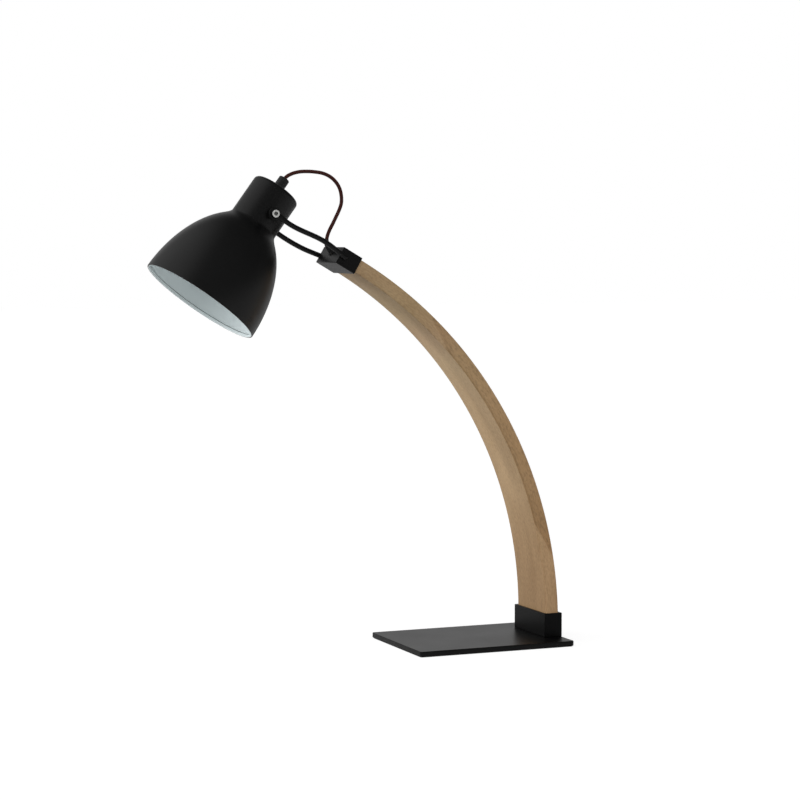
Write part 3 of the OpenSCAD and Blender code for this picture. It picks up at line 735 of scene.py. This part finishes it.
CAMERA_DOWN = 3.941
CAMERA_RIGHT = 22.774
camera = bpy.data.cameras.new("camera")
camera.lens = 108.0
camera.sensor_width = 36.0
camera.clip_end = 50.0
eye = bpy.data.objects.new("camera", camera)
scene.collection.objects.link(eye)
eye.location = (-1.11722, -2.45051, 0.46015)
eye.rotation_euler = (math.radians(90 - CAMERA_DOWN), 0, math.radians(-CAMERA_RIGHT))
scene.camera = eye

# Free cord from the neck to the cap, through places along X and Z, with a black sleeve on its last part

CORD_ROUTE = [
    (-221, 523.1), (-216, 525.7), (-208, 527.9), (-198, 528.6), (-188, 528.1), (-179, 526.6),
    (-171, 523.1), (-164.5, 517.6), (-160, 510.6), (-158, 502.6), (-158, 494.6), (-160.5, 487.1),
    (-164.2, 479.6), (-168.3, 471.6), (-172.3, 464.1), (-174.8, 457.1), (-175.3, 450.6), (-173.6, 445.6),
]
CORD_STEPS = 8
CORD_SIDES = 24
SLEEVE_L = 15.0
SLEEVE_TAPER = 3.0
SLEEVE_MORE = 0.55
cord_start = ON_SHADE @ Vector((0, 0, SHADE_H + GRIP_H))
cord_end = ON_CAP @ Vector((CABLE_X, 0, CAP_LEN + CAP_RING_TOP))
cord_points = [tuple(cord_start), *[(x, 0, z) for x, z in CORD_ROUTE], tuple(cord_end)]
out_of_neck = (math.sin(LEAN), 0, math.cos(LEAN))
into_cap = (math.sin(END), 0, -math.cos(END))
cord_path = smooth_path(cord_points, CORD_STEPS, (out_of_neck, into_cap))
spans = [np.linalg.norm(b - a) for a, b in zip(cord_path, cord_path[1:])]
lengths = np.concatenate([[0], np.cumsum(spans)])
sleeved = [unit((SLEEVE_L - (lengths[-1] - far)) / SLEEVE_TAPER) for far in lengths]
cord_radii = [(CORD_D / 2 + SLEEVE_MORE * more,) * 2 for more in sleeved]
points, faces = tube(cord_path, cord_radii, CORD_SIDES)
covers = [int(sleeved[min(face) // CORD_SIDES] > 0) for face in faces]
mesh = to_mesh("cord", points, faces, IN_PLACE, covers)
layer = mesh.uv_layers.new(name=CORD_MAP)
for polygon in mesh.polygons:
    corners = [mesh.loops[i].vertex_index for i in polygon.loop_indices]
    turns = [corner % CORD_SIDES for corner in corners]
    wraps = max(turns) - min(turns) > CORD_SIDES / 2
    for i, corner, turn in zip(polygon.loop_indices, corners, turns):
        around = CORD_SIDES if wraps and turn == 0 else turn
        layer.data[i].uv = (lengths[corner // CORD_SIDES] * MM, around / CORD_SIDES)
cord = finish_mesh("fabric_cord", mesh, [CORD, RUBBER], None, ["head_cord"], SHARP_CORD)
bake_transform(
    cord,
    "head",
    "stand",
    start=tuple(np.array(cord_start) * MM),
    end=tuple(np.array(cord_end) * MM),
)
# A blend along one straight line would fold the loop flat at the upper limit, so each ring turns by its own
# share, which falls off from the neck to the cap
ring_shares = 1 - (1 - lengths / lengths[-1]) ** 2
shares = cord.data.attributes["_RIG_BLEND"].data
shares.foreach_set("value", np.repeat(ring_shares, CORD_SIDES).astype(np.float32))

# Base and socket

PLATE_SOFT = 0.6
SOCKET_SOFT = 0.5
slab(
    "base_slab", PLATE_L, PLATE_W, PAD_T, BASE_TOP, PLATE_R, PLATE_SOFT, BLACK,
    "stand", ["base_plate"],
)
bevelled_box(
    "socket_box", (SOCKET_L, SOCKET_W, SOCKET_H), move(SOCKET_X, 0, BASE_TOP), SOCKET_BLACK,
    1, SOCKET_WALL, SOCKET_SOFT, "stand", ["arm_socket"],
)

# Wooden arm: one section swept from the foot, round the bend and into the cap

ARM_SOFT = 1.1
ARM_CORNER_STEPS = 4
ARM_STEPS = 120
# Rings on the straight ends, close to the bend
RING_BELOW = 6.0
RING_ABOVE = 3.0
# The groove's walls lean in by this at its floor
GROOVE_DRAFT = 0.01
# The strip starts this many degrees past the inlet, with play at its sides and a gap under it
STRIP_PAST_INLET = 0.9
STRIP_PLAY = 0.08
STRIP_UNDER = 0.05
STRIP_SOFT = 0.2
STRIP_STEPS = 100
STRIP_START = INLET_A + STRIP_PAST_INLET
HALF_CHORD = ARC_R * math.sin(END / 2)


def half_width(p):
    """Half of the arm's width at a point, from its place along the chord of the bend."""
    along = -(p[0] - ARC_CX) * math.sin(END / 2) + (p[2] - ARC_CZ) * math.cos(END / 2)
    return (FOOT_W + TIP_W) / 4 + (TIP_W - FOOT_W) / (4 * HALF_CHORD) * along


def arm_sweep(name, section, stations, mat, stands_for):
    """Sweep a section over stations of (angle, height). Its points are (depth, side, inset): a side of -1
    or 1 lies that inset in from the arm's own side, and any other side is a place along Y."""
    points = []
    for angle, height in stations:
        placed = on_arm(angle)
        for depth, side, inset in section(angle):
            p = placed @ Vector((depth, 0, height))
            y = side
            if abs(side) == 1:
                y = side * half_width(p) - math.copysign(inset, side)
            points.append((p.x, y, p.z))
    faces = skin(len(stations), len(points) // len(stations))
    mesh = to_mesh(name, points, faces, IN_PLACE)
    finish_mesh(name, mesh, [mat], "stand", stands_for, SHARP_SOFT)


def arm_section(angle):
    """Rounded rectangle, with the groove for the strip in its outer face past the inlet."""
    floor = ARM_T - (STRIP_T if angle >= STRIP_START else 0.0)
    wall = GROOVE_W / 2
    foot = wall - GROOVE_DRAFT
    out = []
    for x, side, start in ((0, -1, 180), (ARM_T, -1, 270), (ARM_T, 1, 0), (0, 1, 90)):
        if x == ARM_T and side == 1:
            out += [(ARM_T, -wall, 0), (floor, -foot, 0), (floor, foot, 0), (ARM_T, wall, 0)]
        centre = ARM_SOFT if x == 0 else ARM_T - ARM_SOFT
        for i in range(ARM_CORNER_STEPS + 1):
            a = math.radians(start + 90 * i / ARM_CORNER_STEPS)
            out.append((centre + ARM_SOFT * math.cos(a), side, ARM_SOFT * (1 - abs(math.sin(a)))))
    return out


def strip_section(_):
    """Strip with its outer edges chamfered, the same all along."""
    side = GROOVE_W / 2 - STRIP_PLAY
    low = ARM_T - STRIP_T + STRIP_UNDER
    top = ARM_T - LIE
    return [
        (low, -side, 0), (top - STRIP_SOFT, -side, 0), (top, -side + STRIP_SOFT, 0),
        (top, side - STRIP_SOFT, 0), (top - STRIP_SOFT, side, 0), (low, side, 0),
    ]


arm_stations = [
    (0.0, BASE_TOP + SOCKET_FLOOR - ARC_CZ),
    (0.0, -RING_BELOW),
    *[(ARC_END * i / ARM_STEPS, 0.0) for i in range(ARM_STEPS + 1)],
    (ARC_END, RING_ABOVE),
    (ARC_END, TIP_LEN),
]
strip_turn = ARC_END - STRIP_START
strip_stations = [(STRIP_START + strip_turn * i / STRIP_STEPS, 0.0) for i in range(STRIP_STEPS + 1)]
arm_sweep("bent_arm", arm_section, arm_stations, WOOD, ["wood_arm"])
arm_sweep("arm_strip", strip_section, strip_stations, STRIP_WOOD, ["groove_strip"])
lathe(
    "inlet_ring",
    grommet(hole=3.0, seat=5.9, flange=7.5, deep=1.5, top=2.0, soft=1.2, lip_r=0.9, lip_h=0.8),
    [on_arm(INLET_A) @ move(ARM_T, 0, 0) @ turn_y(90)],
    [RUBBER], "stand", ["inlet_bush"], sides=64,
)

# End cap with its grommet

CAP_SOFT = 0.6
bevelled_box(
    "cap_shell", (CAP_H, CAP_W, CAP_LEN), ON_CAP @ move(CAP_X, 0, 0), BLACK,
    -1, CAP_WALL, CAP_SOFT, "stand", ["end_cap"],
)
lathe(
    "cap_ring",
    grommet(
        hole=CORD_HOLE_R, seat=3.65, flange=4.9, deep=CAP_WALL,
        top=CAP_RING_TOP, soft=1.0, lip_r=0.45, lip_h=0.4,
    ),
    [ON_CAP @ move(CABLE_X, 0, CAP_LEN)],
    [RUBBER], "stand", ["cap_grommet"], sides=48,
)

# Rods with their eyes and pins. A bend is how far the rod bows, and how far along from its pin.

ROD_BENDS = {
    "near_rod": (-1, ((2.8, 27), (-1.0, 74))),
    "far_rod": (1, ((-4.0, 27), (-4.4, 56))),
}
ROD_STEPS = 24
ROD_SIDES = 24
ROD_INTO_EYE = 1.0
EYE_SIDES = 64
EYE_SOFT = 0.4
PIN_SIDES = 32
PIN_SOFT = 0.4
# The rod is flat up to this distance from the pivot and round again after this run, and its radius grows
# by this where it is flat
FLAT_FROM = 7.0
FLAT_RUN = 9.0
FLAT_MORE = 0.7
# The rounded end at the pin, and the radius that it starts with
BALL_STEPS = 6
BALL_TIP = 0.01
rod_r = ROD_D / 2
pin_l = ROD_Y - PIN_Y
eye_rows = disc(EYE_HOLE_R, EYE_D / 2, -EYE_T / 2, EYE_T / 2, EYE_SOFT)
pin_rows = [(0, 0), (PIN_R - PIN_SOFT, 0), (PIN_R, PIN_SOFT), (PIN_R, pin_l), (0, pin_l)]
for name, (side, bends) in ROD_BENDS.items():
    knots = [(ROD_X, 0, PIN_Z)]
    knots += [(ROD_X + bow, 0, PIN_Z + far) for bow, far in bends]
    knots += [(ROD_X, 0, PIVOT_Z - EYE_D / 2 + ROD_INTO_EYE)]
    bar = smooth_path(knots, ROD_STEPS)
    lead = direction(bar[0], bar[1])
    path, radii = [], []
    for i in range(BALL_STEPS):
        a = math.radians(90 * i / BALL_STEPS)
        path.append(bar[0] - lead * ROD_D / 2 * math.cos(a))
        radii.append((rod_r * math.sin(a) + BALL_TIP,) * 2)
    for p in bar:
        round_share = unit((PIVOT_Z - p[2] - FLAT_FROM) / FLAT_RUN)
        path.append(p)
        radii.append((rod_r + FLAT_MORE * (1 - round_share), EYE_T / 2 + (rod_r - EYE_T / 2) * round_share))
    points, faces = tube([p + np.array([0, side * ROD_Y, 0]) for p in path], radii, ROD_SIDES)
    for rows, rows_sides, placed in (
        (eye_rows, EYE_SIDES, move(ROD_X, side * ROD_Y, PIVOT_Z) @ turn_x(90)),
        (pin_rows, PIN_SIDES, move(ROD_X, side * PIN_Y, PIN_Z) @ turn_x(-90 * side)),
    ):
        more_points, more_faces, _ = lathe_data(rows, rows_sides)
        join_to(points, faces, more_points, more_faces, placed)
    mesh = to_mesh(name + "_bar", points, faces, ON_CAP)
    finish_mesh(name + "_bar", mesh, [ROD_BLACK], "stand", [name])

# Shade: black outside, white inside, with a folded hem at the rim

OUTSIDE = 0
INSIDE = 1
SHADE_MATS = [SHADE_BLACK, WHITE]
BELL_STEPS = 96
RIM_SOFT = 0.6
HEM_TOP = 3.4
HEM_GAP = 0.6
HEM_SOFT = 0.35
LIP_SOFT = 0.7
LIP_MID = 0.2


def bell_point(a, inset, mat_id):
    """Point of the bell's section, outside or a little way in, with its material."""
    share = 2 / FULLNESS
    return ((RIM_R - inset) * math.cos(a) ** share, (BELL_H - inset) * math.sin(a) ** share, mat_id)


meet = math.acos((NECK_R / RIM_R) ** (FULLNESS / 2))
inner_meet = math.acos(((NECK_R - WALL) / (RIM_R - WALL)) ** (FULLNESS / 2))
hem_meet = math.asin(((HEM_TOP + HEM_GAP) / (BELL_H - WALL)) ** (FULLNESS / 2))
inner_turn = hem_meet - inner_meet
lip = RIM_R - 2 * WALL
seam = RIM_R - 0.5 * WALL
bell = [
    *rounded(RIM_R - RIM_SOFT, RIM_SOFT, RIM_SOFT, 270),
    *[bell_point(meet * i / BELL_STEPS, 0, OUTSIDE) for i in range(1, BELL_STEPS + 1)],
    *[bell_point(inner_meet + inner_turn * i / BELL_STEPS, WALL, INSIDE) for i in range(BELL_STEPS + 1)],
    # The groove's back wall above the hem takes the black outside coat: painted shade in the gap between the
    # fold and the wall
    (seam, HEM_TOP + HEM_GAP, OUTSIDE),
    (seam, HEM_TOP, INSIDE),
    (lip + HEM_SOFT, HEM_TOP, INSIDE),
    (lip, HEM_TOP - HEM_SOFT, INSIDE),
    (lip, LIP_SOFT, INSIDE),
    (lip + LIP_MID, LIP_MID, INSIDE),
    (lip + LIP_SOFT, 0.0, OUTSIDE),
]
lathe("bell_shade", closed(bell), [ON_SHADE], SHADE_MATS, "head", ["shade"], sides=160)

# Neck, with a soft fillet that lies on the bell's shoulder and runs up into the straight part

FILLET_TURN = math.radians(6.0)
FILLET_RISE = 3.0
FILLET_STEPS = 12
SHOULDER_STEPS = 8
NECK_SOFT = 4.5
NECK_STEPS = 10
NECK_SUNK = 0.5
GRIP_HOLE_R = 5.1
shoulder = []
for i in range(SHOULDER_STEPS + 1):
    shoulder.append(bell_point(meet - FILLET_TURN * i / SHOULDER_STEPS, 0, OUTSIDE))
foot_h = shoulder[0][1] + LIE
back_r, back_z, _ = shoulder[-2]
tip_r, tip_z, _ = shoulder[-1]
knee_z = tip_z + (tip_z - back_z) / (tip_r - back_r) * (NECK_R - tip_r)
fillet = []
for i in range(FILLET_STEPS + 1):
    u = i / FILLET_STEPS
    fillet_r = (1 - u) ** 2 * tip_r + (1 - (1 - u) ** 2) * NECK_R
    fillet_z = (1 - u) ** 2 * tip_z + 2 * u * (1 - u) * knee_z + u**2 * (knee_z + FILLET_RISE)
    fillet.append((fillet_r, fillet_z + 2 * LIE, OUTSIDE))
inside_top = SHADE_H - WALL
inner_soft = NECK_SOFT - WALL
round_r = NECK_R - NECK_SOFT
inner_round = rounded(round_r, inside_top - inner_soft, inner_soft, steps=NECK_STEPS, mat_id=INSIDE)
neck = [
    (NECK_R - WALL, foot_h - NECK_SUNK, OUTSIDE),
    *[(r, z + LIE, OUTSIDE) for r, z, _ in shoulder],
    *fillet,
    *rounded(round_r, SHADE_H - NECK_SOFT, NECK_SOFT, steps=NECK_STEPS),
    (GRIP_HOLE_R, SHADE_H, OUTSIDE),
    (GRIP_HOLE_R, inside_top, INSIDE),
    *reversed(inner_round),
]
lathe("shade_neck", closed(neck), [ON_SHADE], SHADE_MATS, "head", ["neck_cup"], sides=128)

# Pivots

NICKEL = 0
HOLE_SHADE = 1
HEAD_SIDE_SHADE = 2
WASHER_GAP = 0.3
WASHER_T = 0.8
WASHER_R = 5.0
WASHER_SOFT = 0.2
BOLT_R = 2.5
BOLT_SOFT = 0.3
BOLT_END = 21.0
# Section of the bolt's head over the washer, and the rows of the whole bolt at its hexagonal hole. The
# nickel head's underside, sides and outer chamfer take black steel and its hole a dark grey: painted shade.
HEAD_ROWS = [
    (4.2, 0.0, HEAD_SIDE_SHADE), (4.5, 0.3, HEAD_SIDE_SHADE), (4.5, 1.9, HEAD_SIDE_SHADE), (4.35, 2.35, HEAD_SIDE_SHADE), (4.05, 2.7, NICKEL),
    (3.6, 2.8, NICKEL), (2.05, 2.8, HOLE_SHADE), (1.9, 2.65, HOLE_SHADE), (1.9, 1.1, HOLE_SHADE), (0, 0.9, HOLE_SHADE),
]
HEX_ROWS = (10, 11, 12)
washer_in = ROD_Y + EYE_T / 2 + WASHER_GAP
head_in = washer_in + WASHER_T
both_pivots = [on_pivot(-1), on_pivot(1)]
bolt = [
    (0, BOLT_END, NICKEL),
    (BOLT_R - BOLT_SOFT, BOLT_END, NICKEL),
    (BOLT_R, BOLT_END + BOLT_SOFT, NICKEL),
    (BOLT_R, head_in, HEAD_SIDE_SHADE),
    *[(r, head_in + z, mat_id) for r, z, mat_id in HEAD_ROWS],
]
lathe(
    "pivot_bolts", bolt, both_pivots, [SCREW, RECESS_SHADE, BLACK_STEEL],
    "head", ["pivot_screws"], sides=72, hexes=HEX_ROWS,
)
lathe(
    "pivot_discs", disc(EYE_HOLE_R, WASHER_R, washer_in, head_in, WASHER_SOFT), both_pivots, [ROD_BLACK],
    "head", ["pivot_washers"], sides=64,
)

# Cord grip

TAIL_L = 13.1
TAIL_R = 5.0
FOOT_CHAMFER_R = 0.3
FOOT_CHAMFER_H = 0.4
GRIP_SOFT = 1.6
GRIP_STRAIGHT_END = 2.1
GRIP_MOUTH_R = 2.9
GRIP_MOUTH_H = 0.5
grip_top = SHADE_H + GRIP_H
grip = [
    (CORD_HOLE_R, SHADE_H - TAIL_L), (TAIL_R, SHADE_H - TAIL_L), (TAIL_R, SHADE_H),
    (GRIP_R - FOOT_CHAMFER_R, SHADE_H + LIE), (GRIP_R, SHADE_H + FOOT_CHAMFER_H),
    (GRIP_R, grip_top - GRIP_STRAIGHT_END),
    *rounded(GRIP_R - GRIP_SOFT, grip_top - GRIP_SOFT, GRIP_SOFT),
    (GRIP_MOUTH_R, grip_top), (CORD_HOLE_R, grip_top - GRIP_MOUTH_H),
]
lathe("grip_body", closed(grip), [ON_SHADE], [PLASTIC], "head", ["cord_grip"], sides=64)

# Lampholder's shell with its soft mouth and its ribs, as rows of (radius, height)

HOLDER_DROP = 57.0
HOLDER_L = 31.8
HOLDER_R = 19.0
HOLDER_BORE_R = 13.4
BLOCK_SEAT_R = 16.15
BLOCK_SEAT_H = 2.8
RIBS = 9
RIB_FROM = 2.5
RIB_STEP = 2.8
RIB_ROWS = [(HOLDER_R, 0.0), (HOLDER_R, 1.7), (18.45, 2.0), (18.45, 2.5)]
MOUTH_ROWS = [(HOLDER_BORE_R, 0.0), (17.6, 0.0), (18.4, 0.3), (18.8, 1.0)]
TOP_BAND = 3.4
mouth = SHADE_H - HOLDER_DROP
shell_top = mouth + HOLDER_L
skirt = [(r, mouth + z) for r, z in MOUTH_ROWS]
for i in range(RIBS):
    rib_z = mouth + RIB_FROM + i * RIB_STEP
    skirt += [(r, rib_z + z) for r, z in RIB_ROWS]
skirt += [
    (HOLDER_R, shell_top - TOP_BAND), (HOLDER_R, shell_top), (BLOCK_SEAT_R, shell_top),
    (BLOCK_SEAT_R, shell_top - BLOCK_SEAT_H), (HOLDER_BORE_R, shell_top - BLOCK_SEAT_H),
]
lathe(
    "holder_body", closed(skirt), [ON_SHADE], [PLASTIC],
    "head", ["holder_shell"], sides=72,
)

# Bulb: a half ball that narrows to its neck, and its base with a thread of closed rings

BULB_SINK = 1.0
BULB_L = 71.0
BULB_R = 27.5
BULB_NECK_R = 12.9
BULB_INSIDE_R = 12.1
BULB_STEPS = 40
THREAD_MID_R = 12.45
THREAD_DEEP = 0.45
THREAD_FROM = 2.4
THREAD_PITCH = 3.6
THREAD_RINGS = 5
THREAD_STEPS = 8
# Rows of (radius, height) under the thread and over it
BASE_START = [(0, LIE), (BULB_NECK_R, LIE), (BULB_NECK_R, 2.0)]
BASE_END = [(BULB_NECK_R, 20.8), (12.0, 22.0), (10.0, 23.0), (0, 23.0)]
join = mouth + BULB_SINK
ball_z = join - BULB_L + BULB_R
globe = [(0, ball_z - BULB_R)]
for i in range(1, BULB_STEPS + 1):
    a = math.radians(-90 + 90 * i / BULB_STEPS)
    globe.append((BULB_R * math.cos(a), ball_z + BULB_R * math.sin(a)))
for i in range(1, BULB_STEPS + 1):
    swell = 0.5 + 0.5 * math.cos(math.pi * i / BULB_STEPS)
    globe.append((BULB_NECK_R + (BULB_R - BULB_NECK_R) * swell, ball_z + (join - ball_z) * i / BULB_STEPS))
globe += [(BULB_INSIDE_R, join), (BULB_INSIDE_R, join - BULB_SINK), (0, join - BULB_SINK)]
lathe("bulb_globe", globe, [ON_SHADE], [OPAL], "head", ["bulb_glass"], sides=96)
thread = [(r, join + z) for r, z in BASE_START]
for i in range(THREAD_RINGS * THREAD_STEPS):
    thread_r = THREAD_MID_R + THREAD_DEEP * math.cos(2 * math.pi * i / THREAD_STEPS)
    thread.append((thread_r, join + THREAD_FROM + THREAD_PITCH * i / THREAD_STEPS))
thread += [(r, join + z) for r, z in BASE_END]
lathe(
    "bulb_screw", thread, [ON_SHADE], [ALUMINIUM],
    "head", ["bulb_base"], sides=64, sharp=SHARP_THREAD,
)

# Finish of the CAD nodes that show as they are

for name, mat in {
    "base_pad": PAD,
    "base_screws": STEEL,
    "arm_screws": BLACK_STEEL,
    "arm_cable": INNER_CORD,
    "cap_screws": BLACK_STEEL,
    "rod_clips": STEEL,
    "pivot_spacers": ROD_BLACK,
    "pivot_nuts": STEEL,
    "grip_screw": BLACK_STEEL,
    "lock_nut": STEEL,
    "holder_cap": PLASTIC,
    "contact_block": CERAMIC,
    "lamp_contacts": BRASS,
    "holder_leads": INNER_CORD,
    "bulb_contact": BRASS,
}.items():
    slots = nodes[name].data.materials
    slots.clear()
    slots.append(mat)

# White floor and background for the camera. Other rays meet a pale floor and a dim studio, which glows
# softly from the front, the upper left and low down at the back.

WHITE_LIGHT = (1, 1, 1, 1)
FLOOR_HALF = 12
FLOOR_GLOW = 0.8
FLOOR_SHADOW = (0.3, 0.3, 0.3, 1)
FLOOR_PALE = (0.56, 0.56, 0.56, 1)
STUDIO_DIM = 0.07


def new_node(tree, kind, **values):
    """Node with constant values set on its sockets."""
    node = tree.nodes.new(kind)
    for key, value in values.items():
        node.inputs[key].default_value = value
    return node


def pick_by_ray(tree, for_camera, for_others, output):
    """Show one shader to the camera and another to all other rays."""
    rays = new_node(tree, "ShaderNodeLightPath")
    pick = new_node(tree, "ShaderNodeMixShader")
    tree.links.new(rays.outputs["Is Camera Ray"], pick.inputs[0])
    tree.links.new(for_others.outputs[0], pick.inputs[1])
    tree.links.new(for_camera.outputs[0], pick.inputs[2])
    tree.links.new(pick.outputs[0], output.inputs[0])


floor_mesh = bpy.data.meshes.new("floor")
floor_corners = [(x * FLOOR_HALF, y * FLOOR_HALF, 0) for x, y in ((-1, -1), (1, -1), (1, 1), (-1, 1))]
floor_mesh.from_pydata(floor_corners, [], [(0, 1, 2, 3)])
floor = bpy.data.objects.new("floor", floor_mesh)
scene.collection.objects.link(floor)
paper = bpy.data.materials.new("floor_white")
paper.use_nodes = True
tree = paper.node_tree
tree.nodes.clear()
glow = new_node(tree, "ShaderNodeEmission", Color=WHITE_LIGHT, Strength=FLOOR_GLOW)
shadow = new_node(tree, "ShaderNodeBsdfDiffuse", Color=FLOOR_SHADOW)
shaded = new_node(tree, "ShaderNodeAddShader")
tree.links.new(glow.outputs[0], shaded.inputs[0])
tree.links.new(shadow.outputs[0], shaded.inputs[1])
pale_floor = new_node(tree, "ShaderNodeBsdfDiffuse", Color=FLOOR_PALE)
pick_by_ray(tree, shaded, pale_floor, new_node(tree, "ShaderNodeOutputMaterial"))
floor_mesh.materials.append(paper)

world = bpy.data.worlds.new("studio")
scene.world = world
world.use_nodes = True
sky = world.node_tree
sky.nodes.clear()
sky_way = new_node(sky, "ShaderNodeTexCoord").outputs["Generated"]


def glow_from(toward, edge, core, strength, more):
    """Soft glow round a direction, fading out between two cosines, added to what comes before."""
    aim = sky.nodes.new("ShaderNodeVectorMath")
    aim.operation = "DOT_PRODUCT"
    aim.inputs[1].default_value = Vector(toward).normalized()
    sky.links.new(sky_way, aim.inputs[0])
    fade = sky.nodes.new("ShaderNodeMapRange")
    fade.interpolation_type = "SMOOTHSTEP"
    for i, value in enumerate((edge, core, 0.0, strength)):
        fade.inputs[i + 1].default_value = value
    sky.links.new(aim.outputs["Value"], fade.inputs[0])
    total = sky.nodes.new("ShaderNodeMath")
    total.operation = "ADD"
    sky.links.new(fade.outputs[0], total.inputs[0])
    if isinstance(more, bpy.types.NodeSocket):
        sky.links.new(more, total.inputs[1])
    else:
        total.inputs[1].default_value = more
    return total.outputs[0]


room = glow_from((-0.2, -0.97, 0.2), edge=-0.1, core=0.9, strength=0.08, more=STUDIO_DIM)
key = glow_from((-0.75, 0.22, 0.62), edge=0.52, core=0.97, strength=0.66, more=room)
level = glow_from((0.34, 0.94, 0.05), edge=0.6, core=1.0, strength=0.55, more=key)
studio = new_node(sky, "ShaderNodeBackground", Color=WHITE_LIGHT)
sky.links.new(level, studio.inputs["Strength"])
white = new_node(sky, "ShaderNodeBackground", Color=WHITE_LIGHT, Strength=1.0)
pick_by_ray(sky, white, studio, new_node(sky, "ShaderNodeOutputWorld"))

# Broad fill from the front and a low card at the left, which the satin black doesn't mirror


def add_lamp(lamp, place, towards):
    obj = bpy.data.objects.new(lamp.name, lamp)
    scene.collection.objects.link(obj)
    obj.location = place
    obj.rotation_euler = Vector(towards).to_track_quat("-Z", "Y").to_euler()
    obj.visible_glossy = False


fill = bpy.data.lights.new("fill_front", "SUN")
fill.energy = 2.2
fill.angle = math.radians(70)
add_lamp(fill, (0, 0, 2), (0.12, 0.78, -0.6))
card = bpy.data.lights.new("card_left", "AREA")
card.shape = "RECTANGLE"
card.size = 1.2
card.size_y = 0.5
card.energy = 11.5
add_lamp(card, (-1.3, 0.6, 0.26), (1.25, -0.55, 0.08))

scene.view_settings.view_transform = "Standard"
